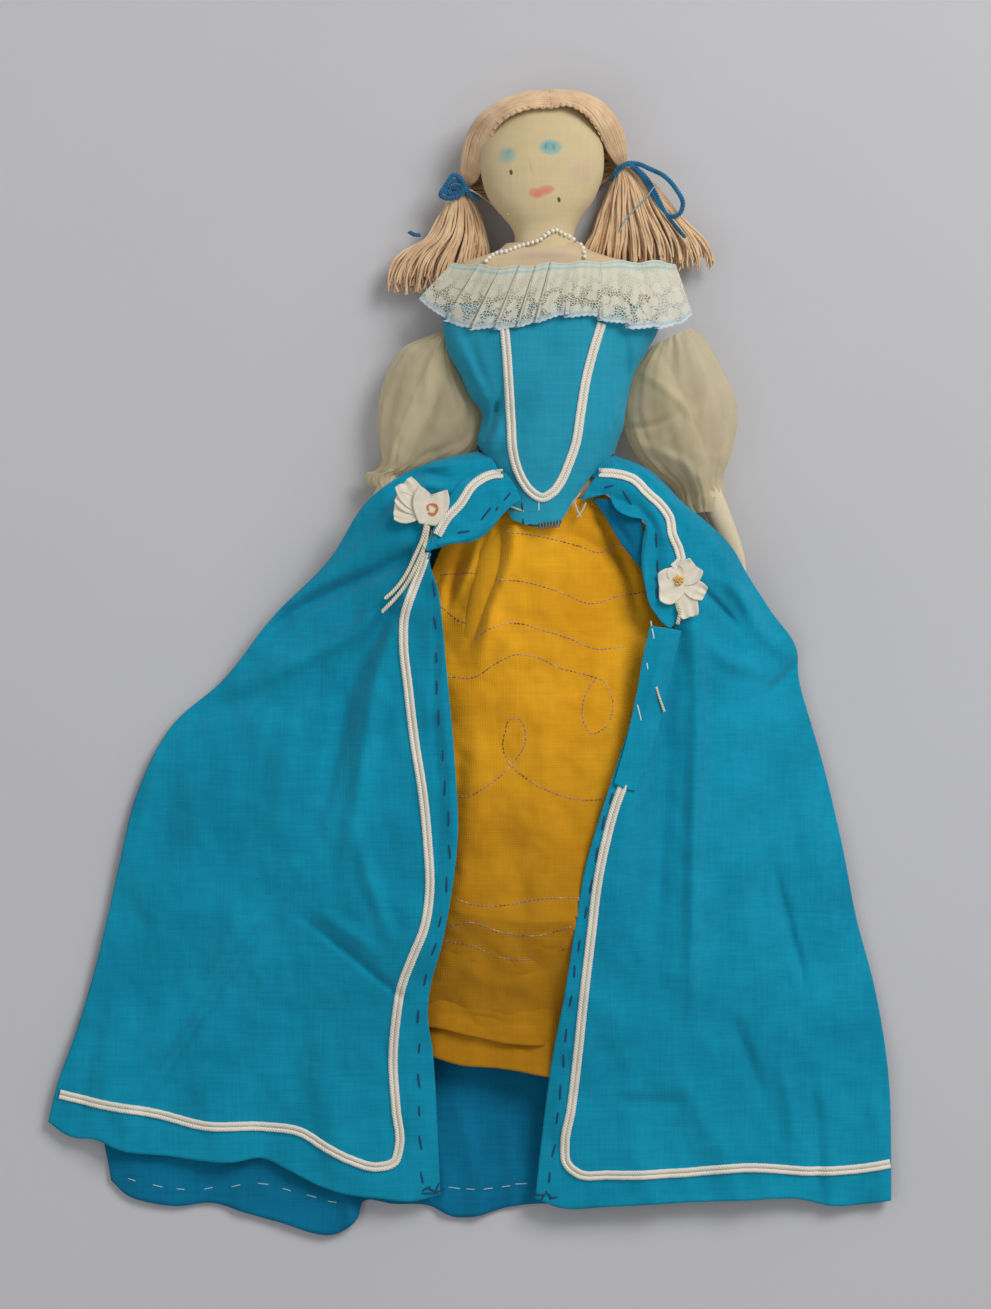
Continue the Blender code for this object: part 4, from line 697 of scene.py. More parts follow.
# Petticoat stitching
# Rows of variegated machine thread, waved and looped as in the photograph, and a brown row along the
# petticoat's hem. The thread is dyed in changing tones, each about 6 mm long.
variegated, tree, shader = surface("variegated_thread", Roughness=0.5)
where = add(tree, "ShaderNodeTexCoord").outputs["Object"]
drift = add(tree, "ShaderNodeTexNoise", {"Vector": where, "Scale": 160.0, "Detail": 1.0})
tones = add(tree, "ShaderNodeValToRGB", {"Fac": drift.outputs["Fac"]})
for place, code in ((0.36, "6E4A2A"), (0.46, "A07C74"), (0.54, "8A7A96"), (0.64, "C9A27A")):
    stop = tones.color_ramp.elements.new(place)
    stop.color = tint(code)
tree.links.new(tones.outputs["Color"], shader.inputs["Base Color"])
machine_lines = [
    [(503, 532), (525, 535), (553, 540), (579, 547), (600, 553), (616, 546), (640, 556)],
    [(440, 575), (470, 573), (501, 580), (522, 582), (561, 593), (592, 604), (616, 597), (645, 592)],
    [(440, 606), (462, 622), (478, 625)],
    [(474, 640), (488, 630), (503, 624), (520, 624), (545, 631), (570, 639), (596, 649), (626, 646)],
    [(444, 676), (475, 677), (495, 664), (514, 655), (533, 656), (560, 668), (590, 676), (604, 682), (611, 697),
     (611, 714), (603, 728), (592, 733), (584, 724), (582, 708), (586, 692), (594, 680)],
    [(455, 796), (470, 795), (486, 786), (500, 776), (513, 762), (524, 745), (525, 730), (518, 718), (510, 719),
     (505, 732), (503, 747), (509, 762), (520, 773), (535, 783), (556, 793), (582, 799), (610, 798)],
    [(456, 898), (480, 904), (510, 903), (541, 897), (580, 896)],
    [(446, 926), (470, 921), (500, 930), (535, 934), (570, 925)],
    [(440, 940), (470, 944), (500, 956), (540, 957), (574, 943)],
]
dashes = []
for number, line in enumerate(machine_lines):
    dashes += dashes_along(line, 4.3, 1.5, 20 + number, 0.2)
piece = threads("machine_stitching", [skirt], dashes, 0.00045, variegated, lift=0.05)
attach(piece, "doll")
seam = dashes_along([(434, 1034), (470, 1040), (512, 1047), (550, 1049)], 4, 1.6, 40, 0.2)
brown_thread = surface("brown_thread", Base_Color=tint("6B3F1C"), Roughness=0.6)[0]
piece = threads("hem_stitching", [skirt], seam, 0.0005, brown_thread)
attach(piece, "doll")


# Head
# Unbleached muslin, stuffed flat and round, with the face painted straight on the cloth. Rows of oval
# sections give y, left x and right x in pixels, and back and front in mm.
def loft(name, rows, material, columns=72, steps=90, power=0.82, wall=0.0, reach=None, closed=True, ripple=None):
    """A form of oval sections; reach gives its lower edge (y) for each angle, ripple moves its points."""
    rows = np.array(rows, float)
    angles = np.linspace(0, 2 * math.pi, columns + 1)
    ends = np.array([rows[-1, 0] if reach is None else reach(angle) for angle in angles])
    y = rows[0, 0] + (ends - rows[0, 0]) * np.linspace(0, 1, steps + 1)[:, None]
    slopes = np.gradient(rows, rows[:, 0], axis=0)
    low = np.clip(np.searchsorted(rows[:, 0], y, side="right") - 1, 0, len(rows) - 2)
    span = (rows[low + 1, 0] - rows[low, 0])[..., None]
    s = ((y - rows[low, 0]) / span[..., 0])[..., None]
    section = ((2 * s ** 3 - 3 * s ** 2 + 1) * rows[low] + (s ** 3 - 2 * s ** 2 + s) * span * slopes[low]
               + (3 * s ** 2 - 2 * s ** 3) * rows[low + 1] + (s ** 3 - s ** 2) * span * slopes[low + 1])
    left, right, back, front = (section[..., index] for index in (1, 2, 3, 4))
    across = np.sign(np.cos(angles)) * np.abs(np.cos(angles)) ** power
    up = np.sign(np.sin(angles)) * np.abs(np.sin(angles)) ** power
    grid = np.stack([(left + right) / 2 + (right - left) / 2 * across, y,
                     (back + front) / 2 + (front - back) / 2 * up], axis=-1)
    if ripple is not None:
        grid = ripple(grid)
    grid[:, -1] = grid[:, 0]
    piece = skin(name, plan(grid), material, wall, wrap=True, closed=closed)
    if not closed:
        bm = bmesh.new()
        bm.from_mesh(piece.data)
        bmesh.ops.recalc_face_normals(bm, faces=bm.faces)
        bm.to_mesh(piece.data)
        bm.free()
    return piece


def blot(tree, where, below, code, centre, size, turn=0.0, soft=0.35, rough=0.25, strength=1.0):
    """One soft oval of worn textile paint over the colour below it; half sizes in mm."""
    back = add(tree, "ShaderNodeVectorMath", {0: where, 1: tuple(-plan(centre))}, operation="ADD")
    fuzz = add(tree, "ShaderNodeTexNoise", {"Vector": where, "Scale": 900.0, "Detail": 3.0})
    shift = add(tree, "ShaderNodeVectorMath", {0: fuzz.outputs["Color"], 1: (-0.5, -0.5, -0.5)}, operation="ADD")
    moved = add(tree, "ShaderNodeVectorMath", {0: shift.outputs[0], 1: (0.001 * rough,) * 3, 2: back.outputs[0]},
                operation="MULTIPLY_ADD")
    turned = add(tree, "ShaderNodeVectorRotate", {"Vector": moved.outputs[0], "Axis": (0, 0, 1),
                                                  "Angle": math.radians(-turn)})
    sized = add(tree, "ShaderNodeVectorMath", {0: turned.outputs[0], 1: (1000 / size[0], 1000 / size[1], 60)},
                operation="MULTIPLY")
    ball = add(tree, "ShaderNodeTexGradient", {"Vector": sized.outputs[0]}, gradient_type="SPHERICAL")
    mask = add(tree, "ShaderNodeMapRange", {"Value": ball.outputs["Fac"], "From Max": soft, "To Max": strength},
               interpolation_type="SMOOTHSTEP")
    return add(tree, "ShaderNodeMix", {"Factor": mask.outputs[0], "A": below, "B": tint(code)},
               data_type="RGBA").outputs["Result"]


def muslin(name, light, dark, marks=()):
    """Unbleached muslin, washed soft and matt, its threads drawn 0.42 mm apart to show; marks are painted."""
    material = cotton(name, light, dark, weave=0.00042, slub=0.25, rough=0.8, bump=0.12)
    tree = material.node_tree
    colour = tree.nodes["Principled BSDF"].inputs["Base Color"].links[0].from_socket
    where = add(tree, "ShaderNodeTexCoord").outputs["Object"]
    for mark in marks:
        colour = blot(tree, where, colour, *mark)
    tree.links.new(colour, tree.nodes["Principled BSDF"].inputs["Base Color"])
    return material


# Painted marks: colour, centre, half sizes in mm, turn in degrees, softness, roughness of edge, strength
face_marks = [
    ("CFA999", (580, 176, 31), (6.5, 7), 0, 0.8, 0.6, 0.4),
    ("CFAF9F", (495, 203, 29), (5, 5), 0, 0.8, 0.6, 0.3),
    ("A0B9A8", (507, 158.5, 32), (4.6, 4.2), 25, 0.5, 0.9, 0.75),
    ("8AAFAA", (507.5, 157.5, 32), (3.0, 2.6), 25, 0.7, 0.7, 0.55),
    ("7FA6A4", (508.5, 155, 32), (2.2, 0.9), 25, 0.8, 0.5, 0.5),
    ("8DB6AE", (550.3, 150.8, 33), (5.5, 3.7), 0, 0.42, 0.9, 0.85),
    ("6FA3A6", (549, 150, 33), (3.8, 2.2), 5, 0.7, 0.7, 0.7),
    ("5C949B", (545.5, 150, 33), (0.7, 1.8), -8, 0.7, 0.4, 0.6),
    ("5C949B", (553.5, 151, 33), (0.6, 2.0), 6, 0.7, 0.4, 0.6),
    ("93BDBB", (549.5, 150.5, 33), (1.0, 1.6), 0, 0.7, 0.4, 0.5),
    ("BBA983", (530.3, 169.6, 33), (0.7, 5.2), 15, 0.9, 0.3, 0.5),
    ("E0987F", (535.5, 196.5, 33), (3.6, 2.5), -12, 0.4, 0.7, 0.85),
    ("E0987F", (545.5, 193.4, 33), (4.2, 2.3), 12, 0.4, 0.7, 0.85),
    ("DB8571", (537, 197, 33), (2.8, 1.7), -6, 0.6, 0.6, 0.65),
    ("DB8571", (545.5, 193.6, 33), (2.8, 1.3), 14, 0.6, 0.6, 0.55),
    ("3B3427", (511, 175.6, 33), (0.9, 1.4), 10, 0.5, 0.5, 0.9),
    ("3B3427", (558.5, 202.8, 33), (0.85, 1.5), 12, 0.5, 0.5, 0.9),
]
face_cloth = muslin("face_muslin", "DCC79C", "D0BC91", face_marks)
skin_cloth = muslin("skin_muslin", "D6C09B", "C9B28C", [("D9BDA9", (548, 258, 30), (22, 5), 0, 0.9, 1.0, 0.5)])
head_rows = [
    (99, 543, 553, 15, 19), (101, 531, 565, 10, 25), (104, 520, 574, 7.5, 28), (109, 510, 584, 5.5, 30.3),
    (117, 499, 592, 4, 32), (130, 489, 599, 3.2, 33), (145, 482.5, 602.5, 2.9, 33.5), (160, 480.5, 604, 2.8, 33.6),
    (175, 481, 603, 2.9, 33.3), (190, 484.5, 598.5, 3.2, 32.7), (205, 492, 591, 3.8, 31.6), (216, 501, 583, 4.6, 30.2),
    (226, 510, 577, 5.4, 29), (234, 514, 574, 5.8, 28.6), (246, 513.5, 575, 5.8, 28.8), (258, 505, 583, 5.5, 29),
]


def stuffed(seed, size=26, depth=0.35):
    """Small lumps of the stuffing under the cloth."""
    def move(grid):
        for place in grid.reshape(-1, 3):
            spot = Vector((place[0] / size, place[1] / size, place[2] / size * 2.5 + seed))
            place[2] += depth * noise.noise(spot)
            place[0] += depth * 1.4 * noise.noise(spot + Vector((7, 3, 1)))
        return grid
    return move


piece = loft("head_cloth", head_rows, face_cloth, columns=110, steps=100, power=0.9, ripple=stuffed(3))
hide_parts("head")
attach(piece, "doll")

# Torso
# The same muslin, stuffed firmly, bare above the lace and hidden inside the bodice below it. Its
# sections are those of the bodice, set in by the thickness of the cloth.
BODICE_ROWS = [
    (250, 488, 600, 6, 28), (262, 462, 628, 4, 32), (280, 446, 648, 2, 34.4), (306, 440, 656, 1.4, 35.2),
    (326, 443, 659, 1.4, 35.2), (350, 447, 648, 1.2, 35.3), (375, 460, 634, 1.2, 35.3), (397, 470, 628, 1.2, 35.3),
    (415, 482, 625, 1.3, 35.2), (428, 480, 623, 1.4, 35.1), (442, 477, 618, 1.4, 35.0), (458, 484, 613, 1.5, 34.6),
    (475, 488, 607, 1.5, 34.2), (500, 490, 604, 1.5, 33.8), (530, 490, 604, 1.5, 33.4),
]
torso_rows = [(y, left + 3.5, right - 3.5, back + 0.7, front - 2.6) for y, left, right, back, front in BODICE_ROWS]
torso_rows[0] = (244, 506, 582, 7, 26.5)
torso_rows.insert(1, (252, 496, 592, 6.2, 29.4))
torso_cloth = loft("torso_cloth", torso_rows[:-1], skin_cloth, columns=80, steps=90, power=0.85, ripple=stuffed(5))
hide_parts("torso")
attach(torso_cloth, "doll")

# Bodice
# Turquoise cotton fitted over the torso and sewn with side seams. It ends in a point in front and
# straight behind, with a dark thread along its edge and a U of soutache.
BODICE_HEM = [(478, 446), (486, 466), (493, 486), (499, 506), (504, 520), (519, 525), (535, 527.5), (560, 524),
              (569, 514), (577, 501), (586, 489), (595, 478), (604, 465), (614, 455)]


def bodice_reach(angle):
    """The lower edge: pointed across the front, straight round the back."""
    if math.sin(angle) < 0.02:
        return 452
    across = math.copysign(abs(math.cos(angle)) ** 0.85, math.cos(angle))
    x = 546.5 + 67 * across
    return float(np.interp(x, [p[0] for p in BODICE_HEM], [p[1] for p in BODICE_HEM]))


def bodice_folds(grid):
    """Pull lines and crumples in the front of the bodice; its back stays smooth."""
    upper = grid[..., 2] > 14
    front = grid.copy()
    fold(front, ([(625, 332), (627, 380), (620, 420), (612, 452)], 2.2, -1.2, (0.6, 0.8)),
         ([(631, 332), (633, 380), (626, 420)], 3.5, 0.7, (0.6, 0.6)),
         ([(504, 386), (493, 420), (481, 455)], 3, -1.9, (0.2, 0.9)),
         ([(510, 392), (499, 428), (488, 458)], 4, 1.0, (0.2, 0.8)),
         ([(494, 432), (484, 448), (478, 458)], 4, 0.8, (0.3, 0.9)),
         ([(486, 414), (484, 430), (478, 446)], 3, -1.5, (0.9, 0.4)),
         ([(492, 350), (500, 400), (506, 440)], 7, -0.8, (0.2, 0)),
         ([(606, 345), (604, 400), (594, 450)], 6, -0.9, (0.2, 0)),
         ([(455, 335), (472, 372), (494, 410)], 6, 0.8, (0.4, 0)),
         ([(468, 340), (484, 380), (500, 420)], 5, -0.9, (0.3, 0)),
         ([(520, 340), (536, 420), (540, 480)], 14, 0.3, (0, 0)),
         ([(592, 340), (588, 400), (580, 460)], 8, -0.3, (0, 0)))
    crumple(front, 34, 0.7, 12.5, 2.2)
    crumple(front, 14, 0.3, 15.5, 1.5)
    grid[..., 2] = np.where(upper, np.minimum(front[..., 2], 35.9), grid[..., 2])
    return grid


# The lighter copy of the turquoise: painted light, as the bodice stands highest towards the lamp
bodice = loft("bodice_cloth", [row for row in BODICE_ROWS if row[0] >= 306], turquoise_painted_lit, columns=150, steps=96,
              power=0.85, reach=bodice_reach, closed=False, ripple=bodice_folds)
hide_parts("bodice")
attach(bodice, "doll")
edge_line = [(477, 446), (486, 466), (493, 486), (499, 506), (504, 519), (519, 524), (535, 526.5), (560, 523),
             (569, 513), (577, 500), (586, 488), (595, 477), (604, 464), (613, 455)]
piece = paths_mesh("bodice_edge", [plan(seated(tree_of(bodice), run([(*p, 0) for p in edge_line],
                                                                     np.linspace(0, 1, 80)), 0.1, 20))],
                   0.0007, navy)
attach(piece, "doll")
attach(braid("braid_bodice", [bodice], [(504, 326), (507, 360), (509, 392), (511, 425), (513, 454), (517, 470),
                                         (523, 483), (532, 494), (542, 499), (552, 494), (561, 482), (568, 466),
                                         (575, 446), (580, 415), (586, 379), (593, 352), (601, 326)],
              ["bodice_braid"]), "doll")

# Arms
# Tubes of paler muslin, stuffed, with plain mitten hands, sewn on at the shoulders. Half widths are in
# mm, from the shoulder down to the tip of the hand.
def tube(name, line, radii, material, sides=28, steps=60, flat=1.0, ripple=None, closed=True, wall=0.0):
    """A round or flattened tube along a line of places, its half widths in mm given down its length."""
    path = plan(run(line, np.linspace(0, 1, steps + 1)))
    ahead = np.gradient(path, axis=0)
    ahead /= np.linalg.norm(ahead, axis=1)[:, None]
    aside = np.cross(ahead, (0, 0, 1))
    aside /= np.linalg.norm(aside, axis=1)[:, None]
    up = np.cross(aside, ahead)
    size = np.interp(np.linspace(0, 1, steps + 1), np.linspace(0, 1, len(radii)), radii) * 0.001
    turn = np.linspace(0, 2 * math.pi, sides + 1)
    grid = (path[:, None] + aside[:, None] * (np.cos(turn)[None, :, None] * size[:, None, None])
            + up[:, None] * (np.sin(turn)[None, :, None] * size[:, None, None] * flat))
    if ripple is not None:
        grid = ripple(grid, turn)
    grid[:, -1] = grid[:, 0]
    return skin(name, grid, material, wall, wrap=True, closed=closed)


arm_cloth = muslin("arm_muslin", "E3D8BE", "D4C7A8")
arm_radii = [3.6, 4.4, 4.6, 4.5, 4.3, 4.1, 4.0, 3.9, 4.1, 4.5, 4.7, 4.6, 4.2, 3.2, 1.0]
arm_lines = {
    "left": [(446, 352, 10), (424, 400, 9.6), (402, 450, 9.4), (386, 492, 9.2), (368, 536, 9), (352, 574, 8.4)],
    "right": [(651, 352, 10), (674, 400, 9.6), (696, 450, 9.4), (711, 492, 9.2), (728, 536, 9), (745, 574, 8.4)],
}
for label, line in arm_lines.items():
    piece = tube("arm_cloth_" + label, line, arm_radii, arm_cloth, flat=0.95)
    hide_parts("arm_" + label)
    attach(piece, label + "_arm")


# Sleeves
# Puffs of sheer ecru organza round the arms, drawn in by gathering threads at the shoulder and the
# wrist. Each is laid between its outer and its inner edge, and swells between them.
def make_organza():
    """Stiff sheer organza: fine crossed threads that gleam, drawn 0.4 mm apart so that they show."""
    material, tree, shader = surface("organza", Roughness=0.5, Specular_IOR_Level=0.3, Sheen_Weight=0.6,
                                     Sheen_Roughness=0.35, Transmission_Weight=0.0)
    where = add(tree, "ShaderNodeTexCoord").outputs["Object"]
    cloud = add(tree, "ShaderNodeTexNoise", {"Vector": where, "Scale": 60.0, "Detail": 2.0})
    tone = add(tree, "ShaderNodeMix", {"Factor": cloud.outputs["Fac"], "A": tint("E2D2AA"), "B": tint("EEE1BF")},
               data_type="RGBA")
    tree.links.new(tone.outputs["Result"], shader.inputs["Base Color"])
    weave = add(tree, "ShaderNodeTexWave", {"Vector": where, "Scale": 800.0, "Distortion": 0.5},
                bands_direction="DIAGONAL")
    relief = add(tree, "ShaderNodeBump", {"Height": weave.outputs["Fac"], "Strength": 0.12, "Distance": 0.00005})
    tree.links.new(relief.outputs["Normal"], shader.inputs["Normal"])
    facing = add(tree, "ShaderNodeLayerWeight", {"Blend": 0.35})
    cover = add(tree, "ShaderNodeMapRange", {"Value": facing.outputs["Facing"], "To Min": 0.6, "To Max": 0.97})
    through = add(tree, "ShaderNodeBsdfTranslucent", {"Color": tint("E8DCBA")})
    thick = add(tree, "ShaderNodeMixShader", {0: 0.35, 1: shader.outputs[0], 2: through.outputs[0]})
    clear = add(tree, "ShaderNodeBsdfTransparent")
    whole = add(tree, "ShaderNodeMixShader", {0: cover.outputs[0], 1: clear.outputs[0], 2: thick.outputs[0]})
    tree.links.new(whole.outputs[0], tree.nodes["Material Output"].inputs["Surface"])
    return material


organza = make_organza()
sleeve_lines = {
    "left": ([(443, 331), (422, 338), (403, 348), (390, 366), (383, 388), (379, 415), (381, 445), (383, 462),
              (377, 470), (368, 473), (366, 482), (372, 487)],
             [(446, 345), (453, 362), (462, 382), (471, 398), (480, 412), (482, 428), (478, 444), (462, 459),
              (440, 466), (418, 472), (402, 477), (396, 488)]),
    "right": ([(691, 328), (703, 338), (713, 352), (724, 372), (732, 392), (736, 412), (734, 438), (727, 462),
               (721, 478), (722, 490), (723, 502), (717, 511)],
              [(654, 345), (643, 357), (634, 370), (628, 388), (624, 410), (627, 432), (638, 456), (655, 473),
               (672, 484), (679, 494), (681, 505), (690, 513)]),
}
for label, (outer, inner) in sleeve_lines.items():
    shares = np.linspace(0, 1, 97)
    edge_out, edge_in = run([(*p, 0) for p in outer], shares), run([(*p, 0) for p in inner], shares)
    turn = np.linspace(0, 2 * math.pi, 97)
    middle, half = (edge_out + edge_in)[:, None, :2] / 2, (edge_in - edge_out)[:, None, :2] / 2
    depth = np.interp(shares, (0, 0.12, 0.35, 0.6, 0.8, 0.9, 1), (8, 9.5, 11, 10.5, 8, 5.2, 5.4))[:, None]
    centre = np.interp(shares, (0, 0.3, 0.7, 1), (11, 11.4, 10.8, 9.2))[:, None]
    gather = np.interp(shares, (0, 0.1, 0.3, 0.65, 0.85, 0.93, 1), (1, 0.5, 0.25, 0.3, 0.8, 1, 1))[:, None]
    pleat = gather * (0.07 * np.sin(turn * 15 + 1.5 * np.sin(shares[:, None] * 7)) + 0.05 * np.sin(turn * 23))
    swell = 1 + pleat
    grid = np.empty((97, 97, 3))
    grid[..., :2] = middle + half * (np.cos(turn)[None] * swell)[..., None]
    grid[..., 2] = centre + depth * np.sin(turn)[None] * swell
    crumple(grid, 22, 1.6, 31 + len(label), 2.0)
    crumple(grid, 9, 0.5, 35 + len(label), 1.6)
    if label == "right":
        fold(grid, ([(640, 372), (668, 392), (690, 420), (676, 436), (660, 446)], 4, 2.0, (0.2, 0.4)),
             ([(633, 428), (660, 424), (690, 400), (700, 380)], 4, -1.8, (0.8, 0.1)),
             ([(628, 440), (655, 450), (690, 470), (704, 496)], 5, 1.5, (0.2, 0.7)),
             ([(712, 372), (704, 420), (702, 470), (700, 500)], 6, 1.2, (0.1, 0.6)),
             ([(724, 400), (718, 440), (712, 490)], 5, -1.2, (0.1, 0.6)))
    else:
        fold(grid, ([(420, 350), (408, 390), (396, 430), (388, 470)], 6, 1.4, (0.1, 0.8)),
             ([(440, 352), (436, 400), (420, 440), (392, 474)], 6, -1.6, (0.2, 0.6)),
             ([(455, 372), (462, 410), (440, 440), (404, 470)], 6, 1.4, (0.2, 0.7)),
             ([(476, 430), (450, 446), (420, 458), (396, 474)], 4, -1.2, (0.4, 0.7)),
             ([(398, 372), (390, 410), (386, 450)], 5, -1.0, (0.1, 0.4)))
    grid[..., 2] = np.clip(grid[..., 2], 0.7, 24)
    grid[:, -1] = grid[:, 0]
    piece = skin("sleeve_cloth_" + label, plan(grid), organza, 0.0, wrap=True)
    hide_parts("sleeve_" + label)
    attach(piece, label + "_arm")

# Lace collar
# One band of cotton lace, gathered in uneven pleats round the shoulders and lying on the bodice. It has
# an openwork flower border, a scalloped hem and pale blue threads along both edges.
def make_lace():
    """Machine-made cotton lace: matt and creamy, dense at the top, flowers and net below."""
    material, tree, shader = surface("lace", Roughness=0.7, Specular_IOR_Level=0.2, Sheen_Weight=0.2)
    where = add(tree, "ShaderNodeTexCoord").outputs["Object"]
    share = add(tree, "ShaderNodeAttribute", attribute_name="share").outputs["Vector"]
    parts = add(tree, "ShaderNodeSeparateXYZ", {"Vector": share})
    # On the lace as it lies: 125 mm round the shoulders by 25 mm deep, in millimetres. The net's holes are
    # drawn 1.1 mm wide, a little coarser than real ones, so that they show.
    flat = add(tree, "ShaderNodeVectorMath", {0: share, 1: (125, 25, 0)}, operation="MULTIPLY")
    net = add(tree, "ShaderNodeTexVoronoi", {"Vector": flat.outputs[0], "Scale": 0.9}, feature="DISTANCE_TO_EDGE",
              voronoi_dimensions="2D")
    mesh_holes = add(tree, "ShaderNodeMapRange", {"Value": net.outputs["Distance"], "From Min": 0.10,
                                                  "From Max": 0.2}, interpolation_type="SMOOTHSTEP")
    bend = add(tree, "ShaderNodeTexNoise", {"Vector": flat.outputs[0], "Scale": 0.35, "Detail": 2.0})
    bent = add(tree, "ShaderNodeVectorMath", {0: bend.outputs["Color"], 1: (5.0,) * 3, 2: flat.outputs[0]},
               operation="MULTIPLY_ADD")
    flower = add(tree, "ShaderNodeTexVoronoi", {"Vector": bent.outputs[0], "Scale": 0.19, "Randomness": 0.8},
                 voronoi_dimensions="2D")
    petals = add(tree, "ShaderNodeMapRange", {"Value": flower.outputs["Distance"], "From Min": 0.34,
                                              "From Max": 0.44})
    # The border strip, its holes strongest in the lowest third
    band = add(tree, "ShaderNodeMapRange", {"Value": parts.outputs["Y"], "From Min": 0.3, "From Max": 0.62},
               interpolation_type="SMOOTHSTEP")
    low = add(tree, "ShaderNodeMapRange", {"Value": parts.outputs["Y"], "From Min": 0.93, "From Max": 0.9})
    strip = add(tree, "ShaderNodeMath", {0: band.outputs[0], 1: low.outputs[0]}, operation="MULTIPLY")
    amount = add(tree, "ShaderNodeMath", {0: strip.outputs[0], 1: 0.62, 2: 0.18}, operation="MULTIPLY_ADD")
    shown = add(tree, "ShaderNodeMath", {0: petals.outputs[0], 1: amount.outputs[0]}, operation="MULTIPLY")
    holes = add(tree, "ShaderNodeMath", {0: mesh_holes.outputs[0], 1: shown.outputs[0]}, operation="MULTIPLY")
    cover = add(tree, "ShaderNodeMath", {0: 0.93, 1: holes.outputs[0]}, operation="SUBTRACT", use_clamp=True)
    tree.links.new(cover.outputs[0], shader.inputs["Alpha"])
    tone = add(tree, "ShaderNodeValToRGB", {"Fac": parts.outputs["Y"]})
    for place, code in ((0.03, "A9CBC4"), (0.06, "DCDAC6"), (0.1, "A9CBC8"), (0.14, "DBD8C2"), (0.55, "DEDAC4"),
                        (0.9, "DAD8C8"), (0.945, "A9C9D2"), (0.97, "E2E2DC")):
        tone.color_ramp.elements.new(place).color = tint(code)
    tone.color_ramp.elements[0].color = tint("DDDCCB")
    tone.color_ramp.elements[-1].color = tint("B4CBDA")
    tree.links.new(tone.outputs["Color"], shader.inputs["Base Color"])
    height = add(tree, "ShaderNodeMath", {0: petals.outputs[0], 1: -1.0, 2: mesh_holes.outputs[0]},
                 operation="MULTIPLY_ADD")
    relief = add(tree, "ShaderNodeBump", {"Height": height.outputs[0], "Strength": 0.3, "Distance": 0.0002},
                 invert=True)
    tree.links.new(relief.outputs["Normal"], shader.inputs["Normal"])
    return material


lace_material = make_lace()
LACE_TOP = [(453, 263, 20.5), (470, 266, 26), (488, 268, 31), (505, 270, 34.5), (532, 268, 36), (560, 266, 36.4),
            (590, 265, 35.6), (615, 264, 33.5), (640, 264, 30), (660, 263, 25.5), (675, 264, 20.5)]
LACE_HEM = [(419, 299, 19), (430, 309, 22), (447, 321, 26), (462, 329, 30), (484, 331, 34.5), (512, 330, 36.2),
            (535, 325, 36.8), (562, 319, 37), (590, 319, 36.8), (612, 325, 36.2), (640, 330, 34), (662, 329, 30),
            (682, 323, 24), (692, 314, 19.5)]
# Pleats: place along the band, and how far each overlap steps down at the hem in pixels
LACE_PLEATS = [(0.12, 2), (0.215, 3), (0.30, 4), (0.372, 3), (0.44, 2), (0.545, 4), (0.66, 3), (0.76, 5), (0.86, 3),
               (0.94, 2)]


def lace_grid(columns=420, rows=44):
    """The band between its edges, with overlaps at the pleats, small waves and a scalloped hem."""
    grid = np.empty((rows + 1, columns + 1, 3))
    u = np.linspace(0, 1, columns + 1)
    top, hem = run(LACE_TOP, u), run(LACE_HEM, u)
    lift, step, shift = np.zeros_like(u), np.zeros_like(u), np.zeros_like(u)
    for at, drop in LACE_PLEATS:
        away = (u - at) * 250
        lift += 1.0 * np.exp(-(away / 5.0) ** 2) * np.where(away < 0, 1, np.exp(-np.abs(away) * 0.9))
        step += drop * (1 / (1 + np.exp(-away * 1.6)) - np.clip((away + 22) / 44, 0, 1))
        shift += 3.4 * np.exp(-(away / 2.6) ** 2) * np.sign(away) * -1
    wave = 0.16 * np.sin(u * 2 * math.pi * 27 + np.sin(u * 31))
    scallop = 1.1 * np.abs(np.sin(u * math.pi * 52))
    for row in range(rows + 1):
        v = row / rows
        grid[row] = top * (1 - v) + hem * v
        bulge = 0.7 * math.sin(math.pi * v)
        grid[row, :, 0] += shift * (0.25 + 0.75 * v)
        grid[row, :, 1] += step * v ** 2 + scallop * v ** 8 + 1.2 * np.sin(u * 40) * (1 - v) ** 6
        grid[row, :, 2] += lift * (0.35 + 0.65 * v) + wave * (0.4 + 0.6 * v) + bulge
    grid[..., 2] = np.clip(grid[..., 2], 12, 38.7)
    return grid


over_bodice = lace_grid()
ground = seated(tree_of(bodice, torso_cloth), over_bodice.reshape(-1, 3), 0.35).reshape(over_bodice.shape)
over_bodice[..., 2] = np.maximum(over_bodice[..., 2], np.minimum(ground[..., 2], 38.6))
lace = skin("lace_cloth", plan(over_bodice), lace_material)
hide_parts("lace_collar")
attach(lace, "doll")

# Hair
# Cotton yarn laid over the head from a parting at the top to a tie on each side, over a cap of the same
# yarn, drawn darker as painted shade in the gaps between the strands. Its rolled front edge is caught
# down with small stitches.
def make_yarn(name, light, dark, across=0.0011):
    """Loosely spun cotton: fuzzy and matt, its tone changing from lock to lock; across is its thickness."""
    material, tree, shader = surface(name, Roughness=0.75, Specular_IOR_Level=0.2, Sheen_Weight=0.4)
    where = add(tree, "ShaderNodeTexCoord").outputs["Object"]
    lock = add(tree, "ShaderNodeTexNoise", {"Vector": where, "Scale": 170.0, "Detail": 2.0})
    tone = add(tree, "ShaderNodeValToRGB", {"Fac": lock.outputs["Fac"]})
    tone.color_ramp.elements[0].position = 0.3
    tone.color_ramp.elements[0].color = tint(dark)
    tone.color_ramp.elements[1].position = 0.7
    tone.color_ramp.elements[1].color = tint(light)
    tree.links.new(tone.outputs["Color"], shader.inputs["Base Color"])
    fuzz = add(tree, "ShaderNodeTexNoise", {"Vector": where, "Scale": 1.6 / across, "Detail": 3.0})
    relief = add(tree, "ShaderNodeBump", {"Height": fuzz.outputs["Fac"], "Strength": 0.5, "Distance": 0.0003})
    tree.links.new(relief.outputs["Normal"], shader.inputs["Normal"])
    return material


